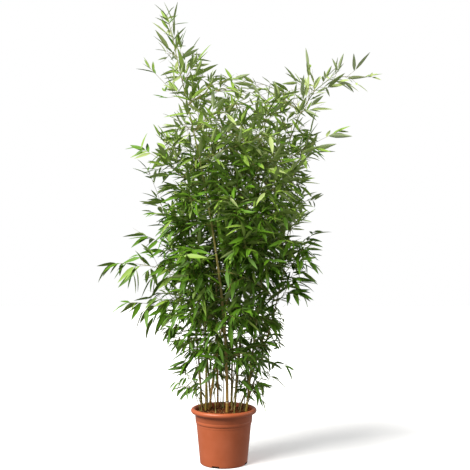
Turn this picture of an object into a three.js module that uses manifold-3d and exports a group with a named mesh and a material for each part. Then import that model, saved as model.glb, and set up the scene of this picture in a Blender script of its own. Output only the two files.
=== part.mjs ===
// A clump of bamboo in a round pot, about 1.9 m tall: the pot, the compost that fills it, eleven
// jointed culms that fan out from the compost, and the sprays of leaves that the culms carry.
//
// Millimetres, +Z up. The origin is the middle of the pot's flat underside, and -Y faces the viewer.
// Each culm runs whole from a flat cut on the compost to its tip. Each spray of foliage is one solid:
// a stem that leaves its culm at a joint, twigs that branch from it by a seeded rule, and leaves.

import * as THREE from 'three';
import { mergeVertices } from 'three/addons/utils/BufferGeometryUtils.js';
import Module from 'manifold-3d';

const wasm = await Module();
wasm.setup();

// Driving dimensions

const CLEARANCE = 0.3;          // between pieces that touch on the real plant
const FUSE_TOLERANCE = 0.06;    // specks smaller than this are smoothed away where leaves are fused on

const POT = {
  height: 222,
  rimRadius: 135,           // to the outside of the rolled rim
  rimTube: 9.7,             // radius of the roll
  rimStart: -90,            // degrees, where the roll starts, at its lowest
  rimStep: 45,              // degrees between the roll's corners
  collarTop: 204.5,         // height at which the collar runs into the roll
  collarTopRadius: 118.5,
  collarFoot: 165,          // height of the collar's lower edge
  collarFootRadius: 115.5,
  collarStep: 1,            // height of the ledge under the collar
  wallTopRadius: 112.5,     // the wall starts this far in, under the collar
  footRadius: 97,
  footRounding: 5,
  footStep: 45,             // degrees between the corners of the foot's rounding
  wall: 3,
  floor: 5,
  segments: 36,
};

// Slots through the foot of the wall. firstAngle: degrees from the front.
const DRAIN = { count: 4, firstAngle: -19, width: 24, height: 6, depth: 14 };

// crown: how much lower it lies at the wall. shoulder: width of that slope.
const SOIL = { level: 210, crown: 3, shoulder: 6, segments: 40 };

// foot: place on the compost. rise, shoulder: the two points that pull the culm's line. tip: its end.
// radius: at the foot. leafy: height above which it carries foliage. isClear: its tip stands out of
// the rest of the crown.
const CULMS = [
  { name: 'main', radius: 6.5, leafy: 420, isClear: true,
    foot: [14, -35], rise: [20, -80, 750], shoulder: [-80, -130, 1180], tip: [-218, -60, 1765] },
  { name: 'front_left', radius: 5, leafy: 380,
    foot: [-74, 0], rise: [-60, -60, 700], shoulder: [-110, -100, 1100], tip: [-195, -110, 1230] },
  { name: 'left', radius: 4.5, leafy: 320,
    foot: [-91, 20], rise: [-110, 40, 600], shoulder: [-170, 60, 850], tip: [-185, 90, 960] },
  { name: 'back_middle', radius: 4.5, leafy: 420,
    foot: [-27, 95], rise: [-30, 110, 700], shoulder: [-40, 110, 1150], tip: [-105, 60, 1430] },
  { name: 'back', radius: 4.5, leafy: 380,
    foot: [30, 98], rise: [40, 150, 700], shoulder: [50, 190, 1100], tip: [20, 150, 1430] },
  { name: 'right', radius: 4, leafy: 330,
    foot: [66, 75], rise: [160, 90, 430], shoulder: [260, 110, 800], tip: [325, 110, 1230] },
  { name: 'arching_right', radius: 5, leafy: 380, isClear: true,
    foot: [92, -20], rise: [150, -40, 700], shoulder: [215, -60, 1590], tip: [490, -70, 1580] },
  { name: 'front_right', radius: 4, leafy: 320,
    foot: [88, 48], rise: [160, 20, 420], shoulder: [240, -90, 720], tip: [265, -130, 930] },
  { name: 'inner', radius: 5, leafy: 380,
    foot: [-60, 20], rise: [-20, -20, 600], shoulder: [110, -100, 1050], tip: [160, -120, 1350] },
  { name: 'back_left', radius: 4.5, leafy: 360,
    foot: [-55, 78], rise: [-90, 150, 600], shoulder: [-120, 190, 900], tip: [-140, 180, 1180] },
  { name: 'back_right', radius: 4.5, leafy: 360,
    foot: [45, 60], rise: [80, 150, 600], shoulder: [110, 200, 850], tip: [150, 200, 1180] },
];

// Long sprays that stand out of the rest. from: height at which one leaves its culm. to: its furthest
// leaf tip.
const ARMS = [
  { name: 'left_long', culm: 'front_left', from: 680, to: [-545, -60, 860] },
  { name: 'left_low', culm: 'left', from: 560, to: [-490, -20, 690] },
  { name: 'left_high', culm: 'front_left', from: 1130, to: [-395, -60, 1340] },
  { name: 'right_high', culm: 'arching_right', from: 1200, to: [505, -60, 1400] },
  { name: 'right_middle', culm: 'front_right', from: 780, to: [450, -60, 1000] },
  { name: 'right_low', culm: 'right', from: 330, to: [262, -20, 430] },
  { name: 'over_arch', culm: 'arching_right', from: 1440, to: [390, -80, 1665] },
  { name: 'tip_right', culm: 'main', from: 1520, to: [-75, -60, 1700] },
  { name: 'tip_left', culm: 'main', from: 1500, to: [-320, -60, 1640] },
  { name: 'under_arch', culm: 'arching_right', from: 1520, to: [480, -70, 1490] },
];

const CULM = {
  sides: 5,
  tipRadius: 1.3,
  taper: 1.15,              // 1 for an even taper, more for one that comes later
  firstJoint: 45,           // above the compost
  internode: 165,           // between the joints at the foot
  shortening: 0.45,         // share of that length that is lost by the tip
  tipJoint: 40,             // the last joint lies at least this far from the tip
  jointSwell: 1.2,
  jointHalf: 5,             // half the length of the swelling at a joint
  aboveJoint: 0.97,         // the culm is a little thinner above a joint than below it
};

// How far the foliage reaches from the axis at each height, to the left (-X) and to the right (+X).
const REACH = [
  { height: 240, left: 115, right: 110 },
  { height: 330, left: 150, right: 180 },
  { height: 450, left: 210, right: 235 },
  { height: 620, left: 320, right: 240 },
  { height: 750, left: 320, right: 300 },
  { height: 900, left: 285, right: 370 },
  { height: 1050, left: 270, right: 390 },
  { height: 1300, left: 295, right: 410 },
  { height: 1450, left: 250, right: 440 },
  { height: 1530, left: 240, right: 360 },
  { height: 1600, left: 260, right: 60 },
  { height: 1680, left: 280, right: -60 },
  { height: 1800, left: 300, right: -120 },
];
const REACH_SLACK = 1.1;        // share of its reach that a leaf's tip may come to
const DEPTH_SHARE = 0.9;        // reach to front and back, as a share of the mean reach to the sides

const SPRAY = {
  stemRadius: 3,
  stemEndRadius: 2.2,
  stemRings: 4,
  seatings: 5,              // times that a stem's start is moved to seat it on its culm
  leaveOut: 0.72,           // a stem leaves its culm outwards and upwards in these parts
  leaveUp: 0.7,
  leaveHold: 0.45,          // share of its length for which it keeps that way
  lift: 0.2,                // rise of its end, for each millimetre out
  liftSpread: 0.35,         // and more than that, up to this, by chance
  shortest: 50,
  longest: 260,
  lengthStep: 10,
  topLength: 45,            // stem of the spray that ends a culm
  headings: 10,             // directions that a stem is tried in
  endReach: 0.8,            // share of the outline's reach at which a stem ends at most
  endRoom: 0.3,             // weight of the room about its end, besides that about all of it
  culmRoom: 8,              // clear room between its outer part and any culm
  count: 38,                // tried, besides those of the arms and the culms' tips
  kept: 47,                 // of all
  leaves: 12,               // at most, on one spray
  clearLeaves: 9,           // at most, where the spray stands clear of the others
};

const TWIG = {
  perSpray: 6,
  length: 46,
  lengthSpread: 0.25,
  rootRadius: 0.9,          // inside the stem
  sunk: 4,                  // the first twig's root, into the stem's end
  endRadius: 1.6,
  from: 0.72,               // share of the stem, back from its end, over which the twigs stand
  angle: 50,                // from the stem's line
  angleSpread: 12,
};

const LEAF = {
  length: 165,
  width: 43,
  thickness: 2.6,           // from its keel to the line between its edges
  widest: 0.36,             // share of the length at which it is widest
  rootDepth: 0.6,           // behind the twig's middle
  tipWidth: 1,              // half the width that the skin runs out to at the tip of a twig's end leaf
  perTwig: 4,
  spacing: 0.24,            // share of the twig between one leaf and the next
  endSplay: 25,             // degrees by which the end leaf may turn aside
  splay: 38,                // degrees from the twig's line to a side leaf
  splaySpread: 30,
  hangLeast: 0.4,           // share of the droop at its height that a leaf takes
  hangSpread: 1.1,          // and more than that, up to this, by chance
  roll: 75,                 // degrees by which it may lie over to a side
  sizeSpread: 0.1,
  apart: 17,                // between the middles of two leaves of a spray
  tries: 24,                // before a leaf is skipped
  smallest: 0.72,           // share of its size that a leaf has at the last try
};

// How steeply the leaves point down: much in the lower crown, and a little upwards at the top.
const DROOP_LOW = { height: 500, slope: 0.8 };
const DROOP_TOP = { height: 1500, slope: -0.1 };
const DROOP_LEAST = -0.3;

// The growth is smaller at the top: share of full size at two heights.
const SIZE_LOW = { height: 1350, size: 1 };
const SIZE_TOP = { height: 1700, size: 0.62 };

// A spray's space is all that lies nearer to the outer part of its stem than to that of any other
// spray, and a strip past that border, where it keeps the gap to what the neighbour already has there.
// stemFrom: share of the stem at which its outer part starts. strip: how much further a leaf's place
// may be from its own stem than from the neighbour's.
const SPACE = { stemFrom: 0.35, strip: 60, gap: 0.6, marks: 7 };

// Tools for shapes

const GOLDEN_TURN = 137.50776;  // degrees, which never falls into rows
const WELD = 1e-4;
const UP = new THREE.Vector3(0, 0, 1);
const { clamp, lerp, mapLinear, degToRad: radians } = THREE.MathUtils;
const vector = (list) => new THREE.Vector3(...list);

// A number in 0..1 that is always the same for the same seed and draw. The factors only scatter it.
const SCATTER = { seed: 118.9, draw: 311.7, wave: 43758.5453 };

function chance(seed, draw) {
  const wave = Math.sin(seed * SCATTER.seed + draw * SCATTER.draw) * SCATTER.wave;
  return wave - Math.floor(wave);
}

const spread = (seed, draw, size) => (2 * chance(seed, draw) - 1) * size;

// A closed mesh as a solid that can be joined and cut.
function solidOf(geometry) {
  const bare = geometry.index ? geometry.toNonIndexed() : geometry.clone();
  bare.deleteAttribute('normal');
  bare.deleteAttribute('uv');
  const merged = mergeVertices(bare, WELD);
  return new wasm.Manifold(new wasm.Mesh({
    numProp: 3,
    vertProperties: merged.getAttribute('position').array,
    triVerts: new Uint32Array(merged.index.array),
  }));
}

function geometryOf(solid) {
  const mesh = solid.getMesh();
  const geometry = new THREE.BufferGeometry();
  geometry.setAttribute('position', new THREE.BufferAttribute(new Float32Array(mesh.vertProperties), 3));
  geometry.setIndex(new THREE.BufferAttribute(new Uint32Array(mesh.triVerts), 1));
  geometry.computeVertexNormals();
  return geometry;
}

// The main axis that lies most across a direction, to start a tube's rings from.
function axisAcross(direction) {
  const axes = [new THREE.Vector3(1, 0, 0), new THREE.Vector3(0, 1, 0), new THREE.Vector3(0, 0, 1)];
  axes.sort((a, b) => Math.abs(a.dot(direction)) - Math.abs(b.dot(direction)));
  return axes[0];
}

// A closed skin over rings of corners. A pointed skin narrows to the centre of its last ring.
function skinOver(rings, sides, isPointed) {
  const last = rings.length - 1;
  const skin = new THREE.CylinderGeometry(isPointed ? 0 : 1, 1, 1, sides, last);
  const position = skin.getAttribute('position');
  for (let i = 0; i < position.count; i++) {
    const row = Math.round((position.getY(i) + 0.5) * last);
    const ring = rings[row];
    const full = isPointed && row < last ? 1 - row / last : 1;
    const place = ring.centre.clone()
      .addScaledVector(ring.side, (position.getX(i) / full) * ring.width)
      .addScaledVector(ring.other, (position.getZ(i) / full) * ring.depth);
    position.setXYZ(i, place.x, place.y, place.z);
  }
  return skin;
}

function ringAt(centre, forward, across, width, depth = width) {
  const side = across.clone().addScaledVector(forward, -across.dot(forward)).normalize();
  return { centre, side, other: side.clone().cross(forward), width, depth };
}

const barRings = (count, from, to) => Array.from({ length: count },
  (_, i) => ({ share: i / (count - 1), radius: lerp(from, to, i / (count - 1)) }));

// A round bar along a curve. stations: [{ share of the curve, radius }, ...].
function barAlong(curve, stations, sides, across) {
  const rings = stations.map(({ share, radius }) => (
    ringAt(curve.getPointAt(share), curve.getTangentAt(share), across, radius)));
  return skinOver(rings, sides, false);
}

function distanceToLine(point, line) {
  const segment = new THREE.Line3();
  const nearest = new THREE.Vector3();
  let least = Infinity;
  for (let i = 1; i < line.length; i++) {
    segment.set(line[i - 1], line[i]).closestPointToPoint(point, true, nearest);
    least = Math.min(least, nearest.distanceTo(point));
  }
  return least;
}

// The pot: a turned shell with a rolled rim and a collar, and drain slots at its foot

// Corners of a round turn in the profile, from one angle to another.
function arc(radius, height, round, from, to, step) {
  const corners = [];
  for (let turn = from; turn <= to; turn += step) {
    corners.push([radius + round * Math.cos(radians(turn)), height + round * Math.sin(radians(turn))]);
  }
  return corners;
}

function potProfile() {
  const { footRadius, footRounding, rimRadius, rimTube } = POT;
  const outline = [
    [0, 0],
    ...arc(footRadius - footRounding, footRounding, footRounding, -90, 0, POT.footStep),
    [POT.wallTopRadius, POT.collarFoot - POT.collarStep],
    [POT.collarFootRadius, POT.collarFoot],
    [POT.collarTopRadius, POT.collarTop],
    ...arc(rimRadius - rimTube, POT.height - rimTube, rimTube, POT.rimStart, 180, POT.rimStep),
    [footRadius - POT.wall, POT.floor],
    [0, POT.floor],
  ];
  return outline.map(([radius, height]) => new THREE.Vector2(radius, height));
}

function drainSlot(angle) {
  const slot = new THREE.BoxGeometry(DRAIN.depth * 2, DRAIN.width, DRAIN.height * 2);
  slot.translate(POT.footRadius, 0, 0);
  slot.rotateZ(angle);
  return slot;
}

function makePot() {
  const turned = new THREE.LatheGeometry(potProfile(), POT.segments);
  turned.rotateX(Math.PI / 2);
  let pot = solidOf(turned);
  for (let i = 0; i < DRAIN.count; i++) {
    const fromFront = radians(DRAIN.firstAngle + (360 / DRAIN.count) * i);
    pot = pot.subtract(solidOf(drainSlot(fromFront - Math.PI / 2)));
  }
  return geometryOf(pot);
}

// The compost: it fills the pot to just under the rim, flat where the culms stand

function wallRadiusInside(height) {
  const share = (height - POT.floor) / (POT.height - POT.rimTube - POT.floor);
  return lerp(POT.footRadius - POT.wall, POT.rimRadius - 2 * POT.rimTube, share);
}

function makeSoil() {
  const bottom = POT.floor + CLEARANCE;
  const edge = SOIL.level - SOIL.crown;
  const profile = [
    new THREE.Vector2(0, bottom),
    new THREE.Vector2(wallRadiusInside(bottom) - 2 * CLEARANCE, bottom),
    new THREE.Vector2(wallRadiusInside(edge) - 2 * CLEARANCE, edge),
    new THREE.Vector2(wallRadiusInside(SOIL.level) - SOIL.shoulder, SOIL.level),
    new THREE.Vector2(0, SOIL.level),
  ];
  const turned = new THREE.LatheGeometry(profile, SOIL.segments);
  turned.rotateX(Math.PI / 2);
  return geometryOf(solidOf(turned));
}

// Culms

function culmCurve(culm) {
  return new THREE.CubicBezierCurve3(
    new THREE.Vector3(culm.foot[0], culm.foot[1], SOIL.level + CLEARANCE),
    vector(culm.rise), vector(culm.shoulder), vector(culm.tip),
  );
}

const culmRadius = (culm, share) => (
  lerp(culm.radius, CULM.tipRadius, Math.pow(share, CULM.taper)));

// Shares of a culm's length at which its joints lie.
function jointShares(length) {
  const shares = [];
  for (let at = CULM.firstJoint; at < length - CULM.tipJoint;) {
    shares.push(at / length);
    at += CULM.internode * (1 - CULM.shortening * (at / length));
  }
  return shares;
}

function culmSolid(culm, curve) {
  const length = curve.getLength();
  const half = CULM.jointHalf / length;
  const stations = [{ share: 0, radius: culmRadius(culm, 0) }];
  for (const joint of jointShares(length)) {
    const radius = culmRadius(culm, joint);
    stations.push({ share: joint - half, radius });
    stations.push({ share: joint, radius: radius * CULM.jointSwell });
    stations.push({ share: joint + half, radius: radius * CULM.aboveJoint });
  }
  stations.push({ share: 1, radius: CULM.tipRadius });
  const bar = barAlong(curve, stations, CULM.sides, new THREE.Vector3(0, 1, 0));
  flattenFoot(bar, curve, 2 * culm.radius);
  return solidOf(bar);
}

// The cut at a culm's foot is level, whatever its lean.
function flattenFoot(bar, curve, within) {
  const position = bar.getAttribute('position');
  const foot = curve.getPoint(0);
  for (let i = 0; i < position.count; i++) {
    const place = new THREE.Vector3().fromBufferAttribute(position, i);
    if (place.distanceTo(foot) < within) position.setZ(i, foot.z);
  }
}

// Foliage

function reachAt(height, side) {
  const rows = REACH;
  const above = rows.findIndex((row) => row.height >= height);
  if (above === 0) return rows[0][side];
  if (above < 0) return rows[rows.length - 1][side];
  const share = (height - rows[above - 1].height) / (rows[above].height - rows[above - 1].height);
  return lerp(rows[above - 1][side], rows[above][side], share);
}

function droopAt(height) {
  const slope = mapLinear(height, DROOP_LOW.height, DROOP_TOP.height, DROOP_LOW.slope, DROOP_TOP.slope);
  return clamp(slope, DROOP_LEAST, DROOP_LOW.slope);
}

function sizeAt(height) {
  const size = mapLinear(height, SIZE_LOW.height, SIZE_TOP.height, SIZE_LOW.size, SIZE_TOP.size);
  return clamp(size, SIZE_TOP.size, SIZE_LOW.size);
}

// Below 1 inside the foliage's outline, and 1 on it.
function outsideness(place) {
  const left = reachAt(place.z, 'left');
  const right = reachAt(place.z, 'right');
  const across = (place.x - (right - left) / 2) / ((left + right) / 2);
  const deep = place.y / (DEPTH_SHARE * (left + right) / 2);
  return Math.hypot(across, deep);
}

const limbs = CULMS.map((culm) => {
  const curve = culmCurve(culm);
  const solid = culmSolid(culm, curve);
  return { culm, curve, solid, joints: jointShares(curve.getLength()), line: curve.getSpacedPoints(40) };
});

function nearestJoint({ curve, joints }, height) {
  const off = (share) => Math.abs(curve.getPointAt(share).z - height);
  return joints.reduce((best, share) => (off(share) < off(best) ? share : best));
}

// A stem that leaves the culm at a joint, rises, and then leans over to its end. Its start stands off
// the culm's line by the offset.
function sideStem({ curve }, joint, end, offset) {
  const at = curve.getPointAt(joint);
  const along = curve.getTangentAt(joint);
  const heading = end.clone().sub(at).setZ(0).normalize();
  const leave = heading.clone().multiplyScalar(SPRAY.leaveOut)
    .addScaledVector(UP, SPRAY.leaveUp).normalize();
  const radial = leave.clone().addScaledVector(along, -leave.dot(along)).normalize();
  const start = at.clone().addScaledVector(radial, offset);
  const control = start.clone().addScaledVector(leave, start.distanceTo(end) * SPRAY.leaveHold);
  return new THREE.QuadraticBezierCurve3(start, control, end);
}

const jointRadius = ({ culm }, joint) => culmRadius(culm, joint) * CULM.jointSwell;

const stemSolid = (curve) => (
  solidOf(barAlong(curve, barRings(SPRAY.stemRings, SPRAY.stemRadius, SPRAY.stemEndRadius), 3,
    axisAcross(curve.getTangent(0.5)))));

const touchesNoCulm = (stem) => limbs.every(({ solid }) => solid.minGap(stem, 1) > CLEARANCE / 2);

// A place in the middle of the stem's solid, which runs straight from ring to ring.
function placeInStem(curve, share) {
  const runs = SPRAY.stemRings - 1;
  const run = Math.min(Math.floor(share * runs), runs - 1);
  return curve.getPointAt(run / runs).lerp(curve.getPointAt((run + 1) / runs), share * runs - run);
}

// The same stem with its start moved in or out until the clearance is all that parts it from its culm.
function seatedStem(limb, joint, end) {
  let offset = jointRadius(limb, joint) + SPRAY.stemRadius;
  for (let i = 0; i < SPRAY.seatings; i++) {
    const gap = stemSolid(sideStem(limb, joint, end, offset)).minGap(limb.solid, offset);
    offset += CLEARANCE - gap;
  }
  return sideStem(limb, joint, end, offset);
}

function topStem({ curve }) {
  const along = curve.getTangentAt(1);
  const start = curve.getPointAt(1).addScaledVector(along, CLEARANCE);
  const end = start.clone().addScaledVector(along, SPRAY.topLength * sizeAt(start.z));
  return new THREE.QuadraticBezierCurve3(start, start.clone().lerp(end, 0.5), end);
}

// An arm's stem ends short of its furthest leaf tip by the leaf and most of the twig.
function endOfArm({ curve }, joint, tip) {
  const back = curve.getPointAt(joint).sub(tip).normalize();
  const reach = (LEAF.length + 0.8 * TWIG.length) * sizeAt(tip.z);
  const hang = 0.2 * droopAt(tip.z) * LEAF.length;
  return tip.clone().addScaledVector(back, reach).addScaledVector(UP, hang);
}

// Out from the culm along a heading, until the leaves at its end would reach the outline.
function endOfStem(at, heading, seed) {
  const way = heading.clone().addScaledVector(UP, SPRAY.lift + SPRAY.liftSpread * chance(seed, 1));
  const out = (length) => at.clone().addScaledVector(way, length);
  let length = SPRAY.shortest;
  while (length < SPRAY.longest && outsideness(out(length + 0.8 * LEAF.length)) < 1) {
    length += SPRAY.lengthStep;
  }
  return out(length);
}

function clearOfCulms(places, room) {
  return limbs.every(({ culm, line }) => places.every((place) => {
    const share = clamp((place.z - SOIL.level) / (culm.tip[2] - SOIL.level), 0, 1);
    return distanceToLine(place, line) > culmRadius(culm, share) * CULM.jointSwell + room;
  }));
}

// The middle, the outer part and the end of a stem stand for all of it.
const outerPlaces = (curve) => [0.45, 0.75, 1].map((share) => curve.getPoint(share));

function endsInside(end, heading) {
  const halfALeafOn = end.clone().addScaledVector(heading, 0.5 * LEAF.length);
  return outsideness(end) <= SPRAY.endReach && outsideness(halfALeafOn) <= 1;
}

// Of all the joints and headings a stem may take, the one that stays furthest from the stems before it.
function roomiestStem(seed, earlier) {
  let best = { room: -1 };
  for (const limb of limbs) {
    for (const joint of limb.joints) {
      const at = limb.curve.getPointAt(joint);
      if (at.z < limb.culm.leafy) continue;
      for (let k = 0; k < SPRAY.headings; k++) {
        const turn = radians((360 / SPRAY.headings) * (k + chance(seed, 2)));
        const heading = new THREE.Vector3(Math.cos(turn), Math.sin(turn), 0);
        const end = endOfStem(at, heading, seed);
        if (!endsInside(end, heading)) continue;
        const places = outerPlaces(sideStem(limb, joint, end, jointRadius(limb, joint)));
        const room = roomAround(places, earlier);
        if (room <= best.room || !clearOfCulms(places, SPRAY.culmRoom)) continue;
        const curve = seatedStem(limb, joint, end);
        if (touchesNoCulm(stemSolid(curve))) best = { room, limb, curve };
      }
    }
  }
  return best;
}

function roomAround(places, earlier) {
  const rooms = places.map((place) => (
    Math.min(...earlier.map(({ line }) => distanceToLine(place, line)))));
  return Math.min(...rooms) + SPRAY.endRoom * rooms[rooms.length - 1];
}

// line: the marks along the outer part of the stem that the spray's space is measured from.
function sprayOf(name, seed, curve, isFree) {
  const most = isFree ? SPRAY.clearLeaves : SPRAY.leaves;
  const last = SPACE.marks - 1;
  const line = Array.from({ length: SPACE.marks },
    (_, i) => curve.getPointAt(lerp(SPACE.stemFrom, 1, i / last)));
  return { name, seed, curve, isFree, most, line, solid: stemSolid(curve), twigs: [], leaves: [] };
}

const FIRST_SEED = { arm: 900, top: 800, spray: 1 };
const SEEDS_PER_SPRAY = 31;
const SEED_STEP = 0.13;     // from one try at a leaf to the next

// The arms and the sprays that end the culms come first, and the others fill the room between them.
function layOutSprays() {
  const made = [];
  for (const arm of ARMS) {
    const limb = limbs.find(({ culm }) => culm.name === arm.culm);
    const joint = nearestJoint(limb, arm.from);
    const curve = seatedStem(limb, joint, endOfArm(limb, joint, vector(arm.to)));
    made.push(sprayOf(`arm_${arm.name}`, FIRST_SEED.arm + made.length, curve, true));
  }
  for (const limb of limbs) {
    const { name, isClear } = limb.culm;
    made.push(sprayOf(`top_${name}`, FIRST_SEED.top + made.length, topStem(limb), Boolean(isClear)));
  }
  const counts = {};
  for (let i = 0; i < SPRAY.count; i++) {
    const seed = FIRST_SEED.spray + i;
    const { limb, curve } = roomiestStem(seed, made);
    const { name } = limb.culm;
    counts[name] = (counts[name] ?? 0) + 1;
    made.push(sprayOf(`spray_${name}_${counts[name]}`, seed, curve, false));
  }
  return made;
}

const sprays = layOutSprays();

// The first twig goes on from the stem's end, and the others stand round the stem behind it.
function twigOf({ curve, seed }, i) {
  const share = lerp(1 - TWIG.sunk / curve.getLength(), 1 - TWIG.from, i / (TWIG.perSpray - 1));
  const start = placeInStem(curve, share);
  const along = curve.getTangentAt(share);
  const side = new THREE.Vector3().crossVectors(along, UP).normalize();
  const over = side.clone().cross(along);
  const turn = radians(GOLDEN_TURN * i + 360 * chance(seed, 3));
  const open = i === 0 ? 0 : radians(TWIG.angle + spread(seed, 10 + i, TWIG.angleSpread));
  const direction = along.clone().multiplyScalar(Math.cos(open))
    .addScaledVector(side, Math.sin(open) * Math.cos(turn))
    .addScaledVector(over, Math.sin(open) * Math.sin(turn))
    .normalize();
  const length = TWIG.length * sizeAt(start.z) * (1 + spread(seed, 30 + i, TWIG.lengthSpread));
  return { start, direction, length, seed: seed * SEEDS_PER_SPRAY + i };
}

// One try at a leaf of a twig: number 0 ends the twig, and the others lie in turn to its left and right.
function leafOf(twig, i, attempt) {
  const { start, direction, length } = twig;
  const seed = twig.seed + SEED_STEP * attempt;
  const flat = new THREE.Vector3().crossVectors(direction, UP).normalize();
  const place = start.clone().addScaledVector(direction, length * (1 - LEAF.spacing * i));
  const aside = i % 2 ? 1 : -1;
  const turn = radians(i === 0
    ? spread(seed, 40, LEAF.endSplay)
    : aside * (LEAF.splay + spread(seed, 41 + i, LEAF.splaySpread)));
  const hang = droopAt(place.z) * (LEAF.hangLeast + LEAF.hangSpread * chance(seed, 50 + i));
  const heading = direction.clone().multiplyScalar(Math.cos(turn))
    .addScaledVector(flat, Math.sin(turn))
    .addScaledVector(UP, -hang)
    .normalize();
  const roll = radians(spread(seed, 60 + i, LEAF.roll));
  const level = new THREE.Vector3().crossVectors(UP, heading).normalize();
  const side = level.clone().multiplyScalar(Math.cos(roll))
    .addScaledVector(heading.clone().cross(level), Math.sin(roll));
  const full = lerp(1, LEAF.smallest, attempt / (LEAF.tries - 1));
  const size = sizeAt(place.z) * full * (1 + spread(seed, 70 + i, LEAF.sizeSpread));
  const tip = place.clone().addScaledVector(heading, LEAF.length * size);
  const middle = place.clone().lerp(tip, LEAF.widest);
  const half = side.clone().multiplyScalar((LEAF.width / 2) * size);
  return { place, heading, side, size, tip, edges: [middle.clone().add(half), middle.clone().sub(half)] };
}

// A leaf folded along its keel, with four corners: the two edges above, and the root and tip below.
function leafSolid({ place, heading, side, tip, edges }) {
  const lift = heading.clone().cross(side).multiplyScalar(LEAF.thickness);
  const root = place.clone().addScaledVector(heading, -LEAF.rootDepth);
  const leaf = new THREE.TetrahedronGeometry(1);
  const position = leaf.getAttribute('position');
  for (let i = 0; i < position.count; i++) {
    const end = position.getX(i) > 0 ? tip : root;
    const edge = edges[position.getY(i) > 0 ? 0 : 1].clone().add(lift);
    position.setXYZ(i, ...(position.getZ(i) > 0 ? edge : end));
  }
  return solidOf(leaf);
}

// A twig and the leaf that ends it, in one skin of three sides with the keel below.
function twigSolid({ start, direction, length }, leaf) {
  const end = start.clone().addScaledVector(direction, length);
  const middle = leaf.place.clone().lerp(leaf.tip, LEAF.widest);
  const across = leaf.side;
  const half = ((LEAF.width / 2) * leaf.size) / Math.cos(Math.PI / 6);
  return solidOf(skinOver([
    ringAt(start, direction, across, TWIG.rootRadius),
    ringAt(end, direction, across, TWIG.endRadius),
    ringAt(middle, leaf.heading, across, half, LEAF.thickness / 1.5),
    ringAt(leaf.tip, leaf.heading, across, LEAF.tipWidth),
  ], 3, true));
}

// Places along a leaf or twig, close enough together to show where it would leave its space.
function samplesOf(from, corners) {
  const samples = [];
  for (const corner of corners) {
    for (const share of [0.25, 0.5, 0.75, 1]) samples.push(from.clone().lerp(corner, share));
  }
  return samples;
}

function inOwnSpace(spray, places) {
  return places.every((place) => {
    if (!spray.isFree && outsideness(place) > REACH_SLACK) return false;
    const border = distanceToLine(place, spray.line) - SPACE.strip;
    return sprays.every((other) => other === spray || distanceToLine(place, other.line) > border);
  });
}

const isFar = (leaf, other) => [LEAF.widest, 2 * LEAF.widest, 1].every((share) => (
  distanceToLine(leaf.place.clone().lerp(leaf.tip, share), [other.place, other.tip]) > LEAF.apart));

const leavesApart = (leaf, others) => others.every((other) => isFar(leaf, other) && isFar(other, leaf));

// What stands already: the culms, the stems, and the twigs and leaves as they are added.
const standing = [];

function stand(owner, solid) {
  const { min, max } = solid.boundingBox();
  standing.push({ owner, solid, box: new THREE.Box3(vector(min), vector(max)) });
}

function isClearOfOthers(owner, solid) {
  const { min, max } = solid.boundingBox();
  const box = new THREE.Box3(vector(min), vector(max)).expandByScalar(SPACE.gap);
  return standing.every((other) => other.owner === owner || !other.box.intersectsBox(box)
    || other.solid.minGap(solid, 2 * SPACE.gap) >= SPACE.gap);
}

// The first try at a leaf that stays in the spray's space, and clear of all that stands.
function leafThatFits(spray, twig, i) {
  for (let attempt = 0; attempt < LEAF.tries; attempt++) {
    const leaf = leafOf(twig, i, attempt);
    const places = samplesOf(leaf.place, [...leaf.edges, leaf.tip]);
    if (!leavesApart(leaf, spray.leaves) || !inOwnSpace(spray, places)) continue;
    const solid = i === 0 ? twigSolid(twig, leaf) : leafSolid(leaf);
    if (isClearOfOthers(spray, solid)) return { ...leaf, solid };
  }
  return null;
}

function growLeaf(spray, twig, i) {
  const leaf = spray.leaves.length < spray.most ? leafThatFits(spray, twig, i) : null;
  if (!leaf) return false;
  spray.leaves.push(leaf);
  stand(spray, leaf.solid);
  return true;
}

// Every spray in turn grows one twig with the leaf at its end, until each has its twigs. Then the side
// leaves come in the same way.
function growSprays() {
  limbs.forEach(({ solid }) => stand(null, solid));
  sprays.forEach((spray) => stand(spray, spray.solid));
  for (let t = 0; t < TWIG.perSpray; t++) {
    for (const spray of sprays) {
      const twig = twigOf(spray, t);
      if (growLeaf(spray, twig, 0)) spray.twigs.push(twig);
    }
  }
  for (let i = 1; i < LEAF.perTwig; i++) {
    for (let t = 0; t < TWIG.perSpray; t++) {
      for (const spray of sprays) {
        if (spray.twigs[t]) growLeaf(spray, spray.twigs[t], i);
      }
    }
  }
}

growSprays();

// The sprays that stand clear, and the fullest of the others.
const keptSprays = [...sprays]
  .sort((a, b) => Number(b.isFree) - Number(a.isFree) || b.leaves.length - a.leaves.length)
  .slice(0, SPRAY.kept);

// The fused spray without the specks of faces that fusing leaves where a leaf meets its twig.
function makeSpray({ solid, leaves }) {
  const whole = leaves.reduce((fused, leaf) => fused.add(leaf.solid), solid);
  const bodies = whole.simplify(FUSE_TOLERANCE).decompose().sort((a, b) => b.volume() - a.volume());
  return geometryOf(bodies[0]);
}

// Materials

const terracotta = new THREE.MeshStandardMaterial({ color: '#b5603f', roughness: 0.6, metalness: 0 });
const compost = new THREE.MeshStandardMaterial({ color: '#4a3424', roughness: 1, metalness: 0 });
const cane = new THREE.MeshStandardMaterial({ color: '#8f9040', roughness: 0.45, metalness: 0 });
const foliage = new THREE.MeshStandardMaterial({ color: '#4c7a2c', roughness: 0.55, metalness: 0 });

const plant = new THREE.Group();
plant.name = 'potted_bamboo';

function add(name, geometry, material) {
  const mesh = new THREE.Mesh(geometry, material);
  mesh.name = name;
  plant.add(mesh);
}

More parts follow.
